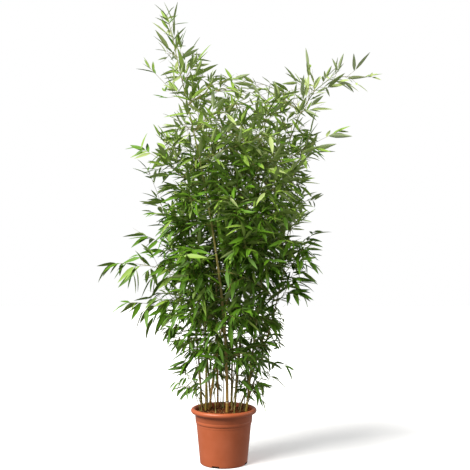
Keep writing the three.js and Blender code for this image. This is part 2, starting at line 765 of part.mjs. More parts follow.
add('pot', makePot(), terracotta);
add('soil', makeSoil(), compost);
for (const { culm, solid } of limbs) add(`culm_${culm.name}`, geometryOf(solid), cane);
for (const spray of sprays) {
  if (keptSprays.includes(spray)) add(spray.name, makeSpray(spray), foliage);
}

export default plant;
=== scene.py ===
"""A clump of bamboo, 1.9 m tall, in a round terracotta-coloured pot.

The layout repeats the rule of the solids: culms fan out of the compost, stems leave them at the
joints and twigs stand round the stems. Here the twigs are finer and carry leaves of life size.
Lengths are in millimetres until a mesh is made, and -Y faces the viewer.
"""
import math

import bmesh
import bpy
import numpy as np
from mathutils import Matrix, Vector, noise


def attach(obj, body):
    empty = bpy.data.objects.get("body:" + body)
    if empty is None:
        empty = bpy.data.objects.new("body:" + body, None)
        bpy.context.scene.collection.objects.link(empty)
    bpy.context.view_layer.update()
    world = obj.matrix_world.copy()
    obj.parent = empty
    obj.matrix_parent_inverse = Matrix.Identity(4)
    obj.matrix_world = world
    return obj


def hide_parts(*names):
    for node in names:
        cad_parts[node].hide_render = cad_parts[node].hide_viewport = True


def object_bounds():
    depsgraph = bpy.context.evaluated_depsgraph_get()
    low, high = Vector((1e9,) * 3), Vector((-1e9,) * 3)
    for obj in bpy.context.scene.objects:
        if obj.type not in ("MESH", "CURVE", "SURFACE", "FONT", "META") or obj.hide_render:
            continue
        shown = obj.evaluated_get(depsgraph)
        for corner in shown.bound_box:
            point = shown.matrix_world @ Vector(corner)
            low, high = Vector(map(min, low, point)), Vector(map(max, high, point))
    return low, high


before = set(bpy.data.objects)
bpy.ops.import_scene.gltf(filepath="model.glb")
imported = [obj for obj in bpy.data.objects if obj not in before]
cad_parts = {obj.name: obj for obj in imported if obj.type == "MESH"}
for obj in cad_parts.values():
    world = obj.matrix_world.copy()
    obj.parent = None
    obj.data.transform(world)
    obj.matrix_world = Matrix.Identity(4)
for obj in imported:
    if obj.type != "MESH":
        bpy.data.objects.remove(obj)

CAD_BOX = [list(corner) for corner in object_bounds()]
METRE = 0.001
UP = np.array([0.0, 0.0, 1.0])


# Camera, light and floor

IMAGE, FOCAL = 470, 688  # pixels: a side of the picture, and the lens
CAMERA_PLACE = (0.046, -2.86, 0.782)
CAMERA_PITCH = 3  # degrees above level
LIGHTS = [
    # name, the side it comes from, power, width in degrees, colour
    ("key", (-1.1, -0.9, 1.5), 5.2, 36, (1.0, 0.985, 0.95)),
    ("fill", (1.0, 0.25, 0.35), 0.65, 60, (1.0, 1.0, 1.0)),
]
AMBIENT = 0.3  # light from all round, as a share of the white backdrop
FLOOR_SIZE, FLOOR_GLOW = 12000, 0.3  # the floor is lit from below too, so shadows on it stay pale


def make_camera():
    data = bpy.data.cameras.new("camera")
    data.sensor_width = 36
    data.lens = data.sensor_width * FOCAL / IMAGE
    data.clip_end = 50
    camera = bpy.data.objects.new("camera", data)
    camera.location = CAMERA_PLACE
    camera.rotation_euler = (math.radians(90 + CAMERA_PITCH), 0, 0)
    bpy.context.scene.collection.objects.link(camera)
    bpy.context.scene.camera = camera


def make_light(name, side, power, width, colour):
    """A light from far off, as soft as a diffuser that fills so many degrees of the sky."""
    data = bpy.data.lights.new(name, "SUN")
    data.energy = power
    data.angle = math.radians(width)
    data.color = colour
    light = bpy.data.objects.new(name, data)
    light.rotation_euler = (-Vector(side)).to_track_quat("-Z", "Y").to_euler()
    bpy.context.scene.collection.objects.link(light)


make_camera()
for light_row in LIGHTS:
    make_light(*light_row)
scene = bpy.context.scene
scene.view_settings.view_transform = "Standard"
scene.view_settings.look = "None"


# Materials

def linear(hexes):
    """An sRGB hex value such as "#b5603f" as linear RGBA."""
    values = [int(hexes[i:i + 2], 16) / 255 for i in (1, 3, 5)]
    return [v / 12.92 if v <= 0.04045 else ((v + 0.055) / 1.055) ** 2.4 for v in values] + [1.0]


def scale_of(grains, span):
    """The scale of a pattern with so many grains side by side on a span in millimetres."""
    return grains / (span * METRE)


def add_node(owner, kind, inputs=None, **settings):
    """Adds a shader node, gives it its settings, and sets or links its inputs."""
    tree = owner.node_tree
    made = tree.nodes.new("ShaderNode" + kind)
    for name, value in settings.items():
        setattr(made, name, value)
    for name, value in (inputs or {}).items():
        if isinstance(value, bpy.types.NodeSocket):
            tree.links.new(value, made.inputs[name])
        else:
            made.inputs[name].default_value = value
    return made


def mix_colours(material, share, first, second, blend="MIX"):
    """Mixes two colours with the named blend and gives the colour that comes out."""
    mix = add_node(material, "Mix", {"Factor": share}, data_type="RGBA", blend_type=blend)
    for socket, colour in zip([one for one in mix.inputs if one.type == "RGBA"], (first, second)):
        material.node_tree.links.new(colour, socket)
    return next(one for one in mix.outputs if one.type == "RGBA")


def set_ramp(ramp, stops):
    """Gives a colour ramp its stops, [(place, hex), ...]."""
    elements = ramp.color_ramp.elements
    while len(elements) > len(stops):
        elements.remove(elements[-1])
    while len(elements) < len(stops):
        elements.new(1.0)
    for element, (place, hexes) in zip(elements, stops):
        element.position = place
        element.color = linear(hexes)


def new_material(name):
    material = bpy.data.materials.new(name)
    material.use_nodes = True
    material.node_tree.nodes.clear()
    return material


def patterned_material(name):
    """A new material, and the place on its piece in metres for its patterns to go by."""
    material = new_material(name)
    return material, add_node(material, "TexCoord").outputs["Object"]


def finish_surface(material, relief=None, **inputs):
    """Ends a material in a principled shader. An underscore stands for a space in a socket's name.

    relief: what raises the skin, how strongly, and by how many millimetres.
    """
    if relief:
        height, strength, distance = relief
        bump = add_node(material, "Bump", {"Height": height, "Strength": strength,
                                           "Distance": distance * METRE})
        inputs["Normal"] = bump.outputs["Normal"]
    shader = add_node(material, "BsdfPrincipled",
                      {name.replace("_", " "): value for name, value in inputs.items()})
    add_node(material, "OutputMaterial", {"Surface": shader.outputs["BSDF"]})
    return material


def moulded_polypropylene():
    """Terracotta-coloured polypropylene from a mould: satin, with a faint orange-peel skin."""
    material, place = patterned_material("moulded_polypropylene_terracotta")
    # clouds of pigment, which keep the wall from looking printed
    cloud = add_node(material, "TexNoise", {"Vector": place, "Scale": scale_of(2, 125), "Detail": 3})
    colour = add_node(material, "ValToRGB", {"Fac": cloud.outputs["Fac"]})
    set_ramp(colour, [(0.3, "#b15a35"), (0.7, "#bc6441")])
    # the grains of the mould's skin soften the gloss
    skin = add_node(material, "TexNoise", {"Vector": place, "Scale": scale_of(13, 20), "Detail": 2})
    return finish_surface(material, (skin.outputs["Fac"], 0.12, 0.4), Base_Color=colour.outputs["Color"],
                          Roughness=0.38, Specular_IOR_Level=0.5, Specular_Tint=linear("#fff4e4"))


def moist_compost():
    """Peat and fine bark, moist: dark brown crumbs with rusty fibres."""
    material, place = patterned_material("moist_bark_compost")
    # crumbs 7 mm wide with finer ones on them
    crumbs = add_node(material, "TexNoise", {"Vector": place, "Scale": scale_of(7, 50), "Detail": 6,
                                             "Roughness": 0.7})
    colour = add_node(material, "ValToRGB", {"Fac": crumbs.outputs["Fac"]})
    set_ramp(colour, [(0.34, "#2c1608"), (0.48, "#653614"), (0.6, "#8c4e24"), (0.72, "#b58550")])
    return finish_surface(material, (crumbs.outputs["Fac"], 0.9, 4), Base_Color=colour.outputs["Color"],
                          Roughness=0.95, Specular_IOR_Level=0.15)


def bark_chip(name, hexes):
    """Composted bark in one shade: matt and fibrous."""
    material, place = patterned_material(name)
    fibre = add_node(material, "TexNoise", {"Vector": place, "Scale": scale_of(3, 5), "Detail": 2})
    return finish_surface(material, (fibre.outputs["Fac"], 0.5, 1), Base_Color=linear(hexes),
                          Roughness=0.9, Specular_IOR_Level=0.15)


def bamboo_cane(name, low, middle, high):
    """A live culm: a smooth waxy skin, golden where the sun has had it low down and green above.

    The joint attribute is 0 on the open length, near 0.5 on the pale bloom and 1 on the sheath's scar.
    """
    material, place = patterned_material(name)
    height = add_node(material, "SeparateXYZ", {"Vector": place}).outputs["Z"]
    # from the compost at 0.2 m to the leafy heads at 1.2 m
    share = add_node(material, "MapRange",
                     {"Value": height, "From Min": 0.2, "From Max": 1.2}).outputs["Result"]
    skin = add_node(material, "ValToRGB", {"Fac": share})
    set_ramp(skin, [(0.0, low), (0.35, middle), (1.0, high)])
    # streaks 2.4 mm wide, drawn out to 40 mm up the culm
    stretch = add_node(material, "Mapping", {"Vector": place, "Scale": (1.0, 1.0, 0.06)})
    streak = add_node(material, "TexNoise", {"Vector": stretch.outputs["Vector"],
                                             "Scale": scale_of(21, 50), "Detail": 3})
    shade = add_node(material, "ValToRGB", {"Fac": streak.outputs["Fac"]})
    set_ramp(shade, [(0.3, "#a59c7c"), (0.6, "#ffffff")])
    streaked = mix_colours(material, 0.85, skin.outputs["Color"], shade.outputs["Color"], "MULTIPLY")
    joint = add_node(material, "Attribute", attribute_name="joint").outputs["Fac"]
    ring = add_node(material, "ValToRGB", {"Fac": joint})
    set_ramp(ring, [(0.0, "#c9bd86"), (0.5, "#e0d6ac"), (0.85, "#7a5a30"), (1.0, "#4f3820")])
    mask = add_node(material, "MapRange",
                    {"Value": joint, "From Min": 0.05, "From Max": 0.45}).outputs["Result"]
    ringed = mix_colours(material, mask, streaked, ring.outputs["Color"])
    return finish_surface(material, (streak.outputs["Fac"], 0.15, 0.5), Base_Color=ringed,
                          Roughness=0.38)


def green_twig():
    """Thin branches in their first years: dull olive skin with dry brown sheaths 17 mm long."""
    material, place = patterned_material("green_bamboo_twig")
    patch = add_node(material, "TexNoise", {"Vector": place, "Scale": scale_of(3, 50), "Detail": 2})
    colour = add_node(material, "ValToRGB", {"Fac": patch.outputs["Fac"]})
    set_ramp(colour, [(0.35, "#6b5e30"), (0.5, "#8f9048"), (0.65, "#b5a768")])
    return finish_surface(material, Base_Color=colour.outputs["Color"], Roughness=0.5)


def leaf_blade(name, hexes, roughness):
    """One face of a leaf in one plain tint: cuticle with a satin gloss and fine parallel veins.

    Blade is the leaf's own map: its first number runs across, and its second along the leaf.
    """
    material = new_material(name)
    blade = add_node(material, "UVMap", uv_map="blade").outputs["UV"]
    # the wave runs through 3.2 bands at a scale of 1, so 8 veins lie on a blade 17 mm wide, coarser
    # than life so that they show
    veins = add_node(material, "TexWave", {"Vector": blade, "Scale": 2.6},
                     wave_type="BANDS", bands_direction="X")
    return finish_surface(material, (veins.outputs["Fac"], 0.2, 0.3), Base_Color=linear(hexes),
                          Roughness=roughness, Specular_IOR_Level=0.3)


# Shapes from meshes and arrays

def smooth(mesh, below):
    """Shades a mesh smooth over all edges that turn by less than so many degrees."""
    mesh.shade_smooth()
    mesh.set_sharp_from_angle(angle=math.radians(below))


def place_piece(name, mesh, materials, smooth_below=None):
    """Makes the piece's object, gives it its materials and lets it ride with the plant."""
    for material in materials:
        mesh.materials.append(material)
    if smooth_below is not None:
        smooth(mesh, smooth_below)
    piece = bpy.data.objects.new(name, mesh)
    scene.collection.objects.link(piece)
    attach(piece, "root")
    return piece


def mesh_of(name, shape):
    """A bmesh in millimetres as a mesh in metres."""
    shape.transform(Matrix.Scale(METRE, 4))
    mesh = bpy.data.meshes.new(name)
    shape.to_mesh(mesh)
    shape.free()
    return mesh


def ring_quads(rows, sides):
    """The faces between rings of corners that follow one another."""
    ring = np.arange(rows - 1)[:, None] * sides
    here, following = ring + np.arange(sides), ring + (np.arange(sides) + 1) % sides
    return np.stack([here, following, following + sides, here + sides], -1).reshape(-1, 4)


def joined_mesh(name, corners, quads, tris, quad_slots=None, tri_slots=None):
    """One mesh from arrays: corners in millimetres, and faces with four sides and with three."""
    mesh = bpy.data.meshes.new(name)
    loops = np.concatenate([quads.reshape(-1), tris.reshape(-1)]).astype(np.int32)
    sizes = np.concatenate([np.full(len(quads), 4), np.full(len(tris), 3)])
    starts = np.concatenate([[0], np.cumsum(sizes)[:-1]]).astype(np.int32)
    mesh.vertices.add(len(corners))
    mesh.vertices.foreach_set("co", (corners * METRE).astype(np.float32).reshape(-1))
    mesh.loops.add(len(loops))
    mesh.loops.foreach_set("vertex_index", loops)
    mesh.polygons.add(len(sizes))
    mesh.polygons.foreach_set("loop_start", starts)
    if quad_slots is not None:
        slots = np.concatenate([quad_slots, tri_slots]).astype(np.int32)
        mesh.polygons.foreach_set("material_index", slots)
    mesh.update(calc_edges=True)
    return mesh


# The pot: a turned shell with a rolled rim, a collar with a groove, and drain slots at its foot

POT_HEIGHT, RIM_RADIUS, RIM_TUBE = 222, 135, 9.7
WALL, FLOOR = 3, 5
FOOT_RADIUS, FOOT_ROUNDING = 97, 5
POT_STEPS = 112
DRAIN_COUNT, DRAIN_FIRST = 4, -19  # degrees from the front
DRAIN_WIDTH, DRAIN_HEIGHT, DRAIN_DEPTH = 30, 9, 26


def arc(radius, height, turn_radius, start, end, count):
    """Corners of a round turn in a profile, from one angle to another."""
    turns = np.radians(np.linspace(start, end, count))
    return [(radius + turn_radius * math.cos(a), height + turn_radius * math.sin(a)) for a in turns]


def pot_profile():
    roll = (RIM_RADIUS - RIM_TUBE, POT_HEIGHT - RIM_TUBE, RIM_TUBE)
    return [
        (0, 0), (60, 0), (FOOT_RADIUS - FOOT_ROUNDING, 0),
        *arc(FOOT_RADIUS - FOOT_ROUNDING, FOOT_ROUNDING, FOOT_ROUNDING, -70, -8, 4),
        (97.6, 12), (103.4, 70), (108.6, 122), (111.3, 150),
        # a low bead under the collar
        (111.6, 153.6), (112.3, 154.4), (112.6, 157),
        (112.5, 163.2), (113.0, 164.4), (115.2, 165.0), (115.7, 166.2),
        # a groove round the collar
        (116.3, 174.4), (115.9, 175.4), (115.9, 176.6), (116.5, 177.6),
        (118.2, 198), (118.5, 202.2), (119.4, 203.4),
        *arc(*roll, -118, 176, 15),
        (RIM_RADIUS - 2 * RIM_TUBE - 0.4, 206),
        (FOOT_RADIUS - WALL, FLOOR), (0, FLOOR),
    ]


def spin_profile(profile, steps):
    """Turns a profile of (radius, height) corners round the pot's axis into a closed shape."""
    shape = bmesh.new()
    corners = [shape.verts.new((radius, 0, height)) for radius, height in profile]
    edges = [shape.edges.new(pair) for pair in zip(corners, corners[1:])]
    bmesh.ops.spin(shape, geom=corners + edges, cent=(0, 0, 0), axis=(0, 0, 1), dvec=(0, 0, 0),
                   angle=2 * math.pi, steps=steps, use_merge=True, use_duplicate=False)
    bmesh.ops.remove_doubles(shape, verts=shape.verts, dist=1e-4)
    bmesh.ops.recalc_face_normals(shape, faces=shape.faces)
    return shape


def drain_turns():
    """The turns that bring a slot at +X to each of its places round the foot."""
    return [Matrix.Rotation(math.radians(DRAIN_FIRST - 90 + i * 360 / DRAIN_COUNT), 3, "Z")
            for i in range(DRAIN_COUNT)]


def drain_cutter():
    """The blocks that cut the drain slots through the foot of the wall."""
    shape = bmesh.new()
    for turn in drain_turns():
        block = bmesh.ops.create_cube(shape, size=1)["verts"]
        bmesh.ops.scale(shape, verts=block, vec=(DRAIN_DEPTH * 2, DRAIN_WIDTH, DRAIN_HEIGHT * 2))
        bmesh.ops.translate(shape, verts=block, vec=(FOOT_RADIUS, 0, 0))
        bmesh.ops.rotate(shape, verts=block, cent=(0, 0, 0), matrix=turn)
    return shape


def make_pot():
    piece = place_piece("pot_shell", mesh_of("pot_shell", spin_profile(pot_profile(), POT_STEPS)),
                        [moulded_polypropylene()])
    cutter = bpy.data.objects.new("drain_slots", mesh_of("drain_slots", drain_cutter()))
    scene.collection.objects.link(cutter)
    cut = piece.modifiers.new("drain", "BOOLEAN")
    cut.operation = "DIFFERENCE"
    cut.solver = "EXACT"
    cut.object = cutter
    bpy.context.view_layer.update()
    cut_pot = piece.evaluated_get(bpy.context.evaluated_depsgraph_get())
    shaped = bpy.data.meshes.new_from_object(cut_pot)
    piece.modifiers.clear()
    piece.data = shaped
    bpy.data.objects.remove(cutter)
    smooth(shaped, 34)
    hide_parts("pot")


# The compost and what lies loose on it

SOIL_LEVEL, SOIL_CROWN, SOIL_SINK = 210, 3, 2.5
SOIL_RELIEF, LUMPS = 3.2, [(26, 1.0), (9, 0.6), (3.5, 0.35)]  # width and share of the relief
SOIL_RINGS, SOIL_STEPS = 46, 180
SHADES = [("dark_bark_chips", "#3c2214"), ("rusty_bark_chips", "#95512c"), ("pale_fibres", "#bd9468")]
CHIPS, CHIP_LENGTH, CHIP_SPREAD = 900, (1.4, 4.6), 112
# dark chips in the drain slots, as painted shade for the hollow under the pot's floor
SLOT_SHADE_CHIPS, SLOT_SHADE_CHIP_LENGTH = 140, (1.4, 2.6)


def wall_radius_inside(height):
    share = (height - FLOOR) / (POT_HEIGHT - RIM_TUBE - FLOOR)
    low, high = FOOT_RADIUS - WALL, RIM_RADIUS - 2 * RIM_TUBE
    return low + (high - low) * share


def soil_height(x, y):
    """Height of the compost at a place: lumps of three sizes, and lower at the wall."""
    place = Vector((x, y, 0))
    lumps = sum(share * noise.noise(place / width) for width, share in LUMPS)
    edge = min(math.hypot(x, y) / wall_radius_inside(SOIL_LEVEL), 1)
    return SOIL_LEVEL - SOIL_SINK + SOIL_RELIEF * lumps - SOIL_CROWN * edge ** 6


def make_soil():
    """The compost fills the pot to within a millimetre of its wall and floor."""
    edge = wall_radius_inside(SOIL_LEVEL - SOIL_CROWN) - 0.6
    bottom = FLOOR + 1
    rings = [(radius, SOIL_LEVEL) for radius in np.linspace(edge, 0, SOIL_RINGS)]
    profile = [(0, bottom), (wall_radius_inside(bottom) - 0.8, bottom), *rings]
    shape = spin_profile(profile, SOIL_STEPS)
    for corner in shape.verts:
        if corner.co.z > SOIL_LEVEL - 1:
            corner.co.z = soil_height(corner.co.x, corner.co.y)
    mesh = mesh_of("compost_top", shape)
    piece = place_piece("compost_top", mesh, [moist_compost()], 60)
    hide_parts("soil")


def make_chips():
    """Loose bark on the compost: flat chips and short fibres, with a piece for each shade of bark, and
    dark chips in the drain slots as painted shade.
    """
    octahedron = np.array([[1, 0, 0], [0, 1, 0], [-1, 0, 0], [0, -1, 0], [0, 0, 1], [0, 0, -1]], float)
    sides = np.array([[0, 1, 4], [1, 2, 4], [2, 3, 4], [3, 0, 4],
                      [1, 0, 5], [2, 1, 5], [3, 2, 5], [0, 3, 5]])
    rng = np.random.default_rng(7)
    groups = [[] for _ in SHADES]
    for i in range(CHIPS):
        radius, turn = CHIP_SPREAD * math.sqrt(rng.random()), rng.random() * 2 * math.pi
        x, y = radius * math.cos(turn), radius * math.sin(turn)
        long = rng.uniform(*CHIP_LENGTH)
        size = (long, long * rng.uniform(0.3, 0.8), long * rng.uniform(0.15, 0.4))
        heading = Matrix.Rotation(rng.random() * 6.28, 3, "Z")
        spin = heading @ Matrix.Rotation(rng.normal(0, 0.45), 3, "X")
        chip = (octahedron * size * rng.uniform(0.75, 1.2, (6, 3))) @ np.array(spin).T
        shade = 0 if i % 2 else (1 if i % 6 else 2)
        groups[shade].append(chip + [x, y, soil_height(x, y) + size[2] * 0.4])
    for turn in drain_turns():
        # painted shade: dark bark chips fill the drain slots and darken the hollow under the pot's floor
        for _ in range(SLOT_SHADE_CHIPS):
            place = (FOOT_RADIUS - rng.uniform(2.5, 8), DRAIN_WIDTH * (rng.random() - 0.5),
                     rng.uniform(1.6, DRAIN_HEIGHT - 1.5))
            chip = octahedron * (*rng.uniform(*SLOT_SHADE_CHIP_LENGTH, 2), SLOT_SHADE_CHIP_LENGTH[0])
            groups[0].append((chip + place) @ np.array(turn).T)
    for (name, hexes), chips in zip(SHADES, groups):
        faces = np.concatenate([sides + len(octahedron) * i for i in range(len(chips))])
        mesh = joined_mesh(name, np.concatenate(chips), np.empty((0, 4), int), faces)
        place_piece(name, mesh, [bark_chip(name, hexes)])


# The rule that lays out culms and stems, as in the solids

CULMS = [
    # name, radius, leafy from, space between twigs where the end stands clear of the crown or 0,
    # foot, rise, shoulder, tip
    ("main", 6.5, 420, 24, (14, -35), (20, -80, 750), (-80, -130, 1180), (-218, -60, 1765)),
    ("front_left", 5, 380, 0, (-74, 0), (-60, -60, 700), (-110, -100, 1100), (-195, -110, 1230)),
    ("left", 4.5, 320, 0, (-91, 20), (-110, 40, 600), (-170, 60, 850), (-185, 90, 960)),
    ("back_middle", 4.5, 420, 0, (-27, 95), (-30, 110, 700), (-40, 110, 1150), (-105, 60, 1430)),
    ("back", 4.5, 380, 0, (30, 98), (40, 150, 700), (50, 190, 1100), (20, 150, 1430)),
    ("right", 4, 330, 0, (66, 75), (160, 90, 430), (260, 110, 800), (325, 110, 1230)),
    ("arching_right", 5, 380, 15, (92, -20), (150, -40, 700), (215, -60, 1590), (490, -70, 1580)),
    ("front_right", 4, 320, 0, (88, 48), (160, 20, 420), (240, -90, 720), (265, -130, 930)),
    ("inner", 5, 380, 0, (-60, 20), (-20, -20, 600), (110, -100, 1050), (160, -120, 1350)),
    ("back_left", 4.5, 360, 0, (-55, 78), (-90, 150, 600), (-120, 190, 900), (-140, 180, 1180)),
    ("back_right", 4.5, 360, 0, (45, 60), (80, 150, 600), (110, 200, 850), (150, 200, 1180)),
]
ARMS = [
    # name, culm, height at which it leaves, furthest leaf tip
    ("left_long", "front_left", 680, (-545, -60, 860)),
    ("left_low", "left", 560, (-490, -20, 690)),
    ("left_high", "front_left", 1130, (-395, -60, 1340)),
    ("right_high", "arching_right", 1200, (505, -60, 1400)),
    ("right_middle", "front_right", 780, (450, -60, 1000)),
    ("right_low", "right", 330, (262, -20, 430)),
    ("over_arch", "arching_right", 1440, (390, -80, 1665)),
    ("tip_right", "main", 1520, (-75, -60, 1700)),
    ("tip_left", "main", 1500, (-320, -60, 1640)),
    ("under_arch", "arching_right", 1520, (480, -70, 1490)),
]
# lesser arms that roughen the outline: culm, height at which each leaves, furthest leaf tip
FINE_ARMS = [
    ("left", 860, (-365, -20, 1235)), ("left", 760, (-400, 0, 985)), ("left", 360, (-275, -30, 500)),
    ("front_left", 900, (-330, -120, 1120)), ("front_right", 620, (395, -70, 880)),
    ("inner", 880, (90, -325, 1010)), ("front_left", 700, (-190, -325, 900)),
    ("back", 820, (120, 325, 950)), ("back_left", 900, (-190, 325, 1150)),
    ("back_middle", 1050, (-90, 320, 1330)), ("back_right", 620, (180, 320, 760)),
    ("back_left", 560, (-170, 310, 690)),
]
# how far the foliage reaches from the axis at each height, to the left and to the right. The
# reach to the front and back is a share of their mean, and a leaf's tip may go a little past it
REACH_HEIGHT = [240, 330, 450, 620, 750, 900, 1050, 1300, 1450, 1530, 1600, 1680, 1800]
REACH_LEFT = [115, 150, 210, 320, 320, 285, 270, 295, 250, 240, 260, 280, 300]
REACH_RIGHT = [110, 180, 235, 240, 300, 370, 390, 410, 440, 360, 60, -60, -120]
REACH_SLACK, DEPTH_SHARE = 1.1, 0.9
CLEARANCE = 0.3
TIP_RADIUS, TAPER = 1.3, 1.15
FIRST_JOINT, INTERNODE, SHORTENING, TIP_JOINT, JOINT_SWELL = 45, 165, 0.45, 40, 1.2
CULM_MARKS = 41
STEM_RADIUS = 3
# a stem leaves its culm outward and up, and holds that heading for a share of its length
LEAVE_OUT, LEAVE_UP, LEAVE_HOLD = 0.72, 0.7, 0.45
LIFT, LIFT_SPREAD = 0.2, 0.35
SHORTEST, LONGEST, LENGTH_STEP, TOP_LENGTH = 50, 260, 10, 45
HEADINGS, END_ROOM, CULM_ROOM = 10, 0.3, 8
STEM_MARKS = (0.45, 0.75, 1)  # these places stand for the whole stem
LEAF_BEYOND, LEAF_OUT = 0.8, 0.5  # shares of a leaf that have to lie inside the outline
END_REACH = (0.8, 0.8)  # outsideness that a stem's end may have, to the left and to the right
FINE_END_REACH = (0.7, 0.8)  # the crown is looser to the left
SOLID_SPRAYS = 38  # tried in the solids, besides the arms and tops
SOLID_LEAF, SOLID_TWIG, ARM_TWIG, ARM_HANG = 165, 46, 0.8, 0.2
SPACE_FROM, SPACE_MARKS = 0.35, 7
# how steeply leaves hang and how large the growth is, each at two heights
DROOP_HEIGHT, DROOP_SLOPE, LEAST_DROOP = (500, 1500), (0.8, -0.1), -0.3
SIZE_HEIGHT, SIZE_SHARE = (1350, 1700), (1.0, 0.62)
ARM_SEED, FINE_ARM_SEED, TOP_SEED = 900, 940, 800
GOLDEN_TURN = 137.50776


def chance(seed, draw):
    """A number in 0..1 that is always the same for the same seed and draw."""
    wave = math.sin(seed * 118.9 + draw * 311.7) * 43758.5453
    return wave - math.floor(wave)


def spread(seed, draw, size):
    return (2 * chance(seed, draw) - 1) * size


def between(ends, seed, draw):
    return ends[0] + (ends[1] - ends[0]) * chance(seed, draw)


def unit(v):
    return v / np.linalg.norm(v, axis=-1, keepdims=True)


def droop_at(height):
    (low, high), (first, last) = DROOP_HEIGHT, DROOP_SLOPE
    slope = first + (last - first) * (height - low) / (high - low)
    return min(max(slope, LEAST_DROOP), first)


def size_at(height):
    return float(np.interp(height, SIZE_HEIGHT, SIZE_SHARE))


def outsideness(place):
    """Below 1 inside the foliage's outline, and 1 on it. Takes one place or an array of them."""
    left = np.interp(place[..., 2], REACH_HEIGHT, REACH_LEFT)
    right = np.interp(place[..., 2], REACH_HEIGHT, REACH_RIGHT)
    across = (place[..., 0] - (right - left) / 2) / ((left + right) / 2)
    deep = place[..., 1] / (DEPTH_SHARE * (left + right) / 2)
    return np.hypot(across, deep)


class Curve:
    """A Bezier curve of three or four points that is walked by shares of its length."""

    def __init__(self, *points):
        self.points = [np.array(p, float) for p in points]
        self.steps = np.linspace(0, 1, 201)
        runs = np.linalg.norm(np.diff(self.at(self.steps), axis=0), axis=1)
        self.lengths = np.concatenate([[0], np.cumsum(runs)])
        self.length = self.lengths[-1]

    def at(self, t):
        t = np.asarray(t, float)[..., None]
        order = len(self.points) - 1
        return sum(math.comb(order, i) * t ** i * (1 - t) ** (order - i) * p
                   for i, p in enumerate(self.points))

    def along(self, share):
        return self.at(np.interp(np.asarray(share) * self.length, self.lengths, self.steps))

    def heading(self, share):
        ahead = np.minimum(np.asarray(share, float) + 1e-3, 1)
        return unit(self.along(ahead) - self.along(ahead - 2e-3))


def distances(places, starts, ends):
    """Distance of each place from each straight run between starts and ends."""
    run = ends - starts
    toward = places[..., None, :] - starts
    share = np.clip((toward * run).sum(-1) / np.maximum((run * run).sum(-1), 1e-12), 0, 1)
    return np.linalg.norm(toward - share[..., None] * run, axis=-1)


class Limb:
    """A culm with its curve, its joints, and marks along it that distances are taken from."""

    def __init__(self, name, radius, leafy, clear, foot, rise, shoulder, tip):
        self.name, self.radius, self.leafy, self.clear = name, radius, leafy, clear
        self.curve = Curve((*foot, SOIL_LEVEL + CLEARANCE), rise, shoulder, tip)
        self.marks = self.curve.along(np.linspace(0, 1, CULM_MARKS))
        self.top = tip[2]
        self.joints = []
        at = FIRST_JOINT
        while at < self.curve.length - TIP_JOINT:
            self.joints.append(at / self.curve.length)
            at += INTERNODE * (1 - SHORTENING * (at / self.curve.length))

    def radius_at(self, share):
        return self.radius + (TIP_RADIUS - self.radius) * np.power(share, TAPER)

    def gap_to(self, places):
        """How far places lie from the culm's line, and the culm's radius at their heights."""
        away = distances(places, self.marks[:-1], self.marks[1:]).min(-1)
        share = np.clip((places[..., 2] - SOIL_LEVEL) / (self.top - SOIL_LEVEL), 0, 1)
        return away, self.radius_at(share)


LIMBS = [Limb(*row) for row in CULMS]


def side_stem_points(at, tangent, end, offset):
    """The three points of a stem that leaves a culm at a joint, rises and leans over to its end."""
    heading = end - at
    heading[..., 2] = 0
    leave = unit(unit(heading) * LEAVE_OUT + UP * LEAVE_UP)
    radial = unit(leave - tangent * (leave * tangent).sum(-1, keepdims=True))
    start = at + radial * offset
    control = start + leave * np.linalg.norm(start - end, axis=-1, keepdims=True) * LEAVE_HOLD
    return start, control, end


def touches_culm(limb, points):
    """Whether a stem would pass through a culm on its way out."""
    places = Curve(*points).at(np.linspace(0.02, 1, 40))
    for other in LIMBS:
        away, radius = other.gap_to(places)
        least = radius + 0.7 * STEM_RADIUS
        if other is limb:
            least = least - STEM_RADIUS
        if (away < least).any():
            return True
    return False


class Spray:
    """A stem with its place in the layout. Free sprays stand out of the crown's outline."""

    def __init__(self, name, seed, limb, joint, points, free):
        self.name, self.seed, self.limb, self.joint, self.free = name, seed, limb, joint, free
        self.curve = Curve(*points)
        self.line = self.curve.along(np.linspace(SPACE_FROM, 1, SPACE_MARKS))


def nearest_joint(limb, height):
    return min(limb.joints, key=lambda share: abs(limb.curve.along(share)[2] - height))


def arm_spray(name, culm, height, tip, seed):
    limb = next(one for one in LIMBS if one.name == culm)
    joint = nearest_joint(limb, height)
    at, tip = limb.curve.along(joint), np.array(tip, float)
    reach = (SOLID_LEAF + ARM_TWIG * SOLID_TWIG) * size_at(tip[2])
    end = tip + unit(at - tip) * reach + UP * ARM_HANG * droop_at(tip[2]) * SOLID_LEAF
    offset = limb.radius_at(joint) * JOINT_SWELL + CLEARANCE + STEM_RADIUS / 2
    points = side_stem_points(at, limb.curve.heading(joint), end, offset)
    return Spray("arm_" + name, seed, limb, joint, points, True)


def top_spray(limb, seed):
    along = limb.curve.heading(1)
    start = limb.curve.along(1) + along * CLEARANCE
    end = start + along * TOP_LENGTH * size_at(start[2])
    return Spray("top_" + limb.name, seed, limb, 1, (start, (start + end) / 2, end), limb.clear > 0)


def candidate_joints(lower=0):
    rows = [(limb, joint) for limb in LIMBS for joint in limb.joints
            if limb.curve.along(joint)[2] >= limb.leafy - lower]
    facts = [(limb.curve.along(joint), limb.curve.heading(joint), limb.radius_at(joint) * JOINT_SWELL)
             for limb, joint in rows]
    return rows, *(np.array(values) for values in zip(*facts))


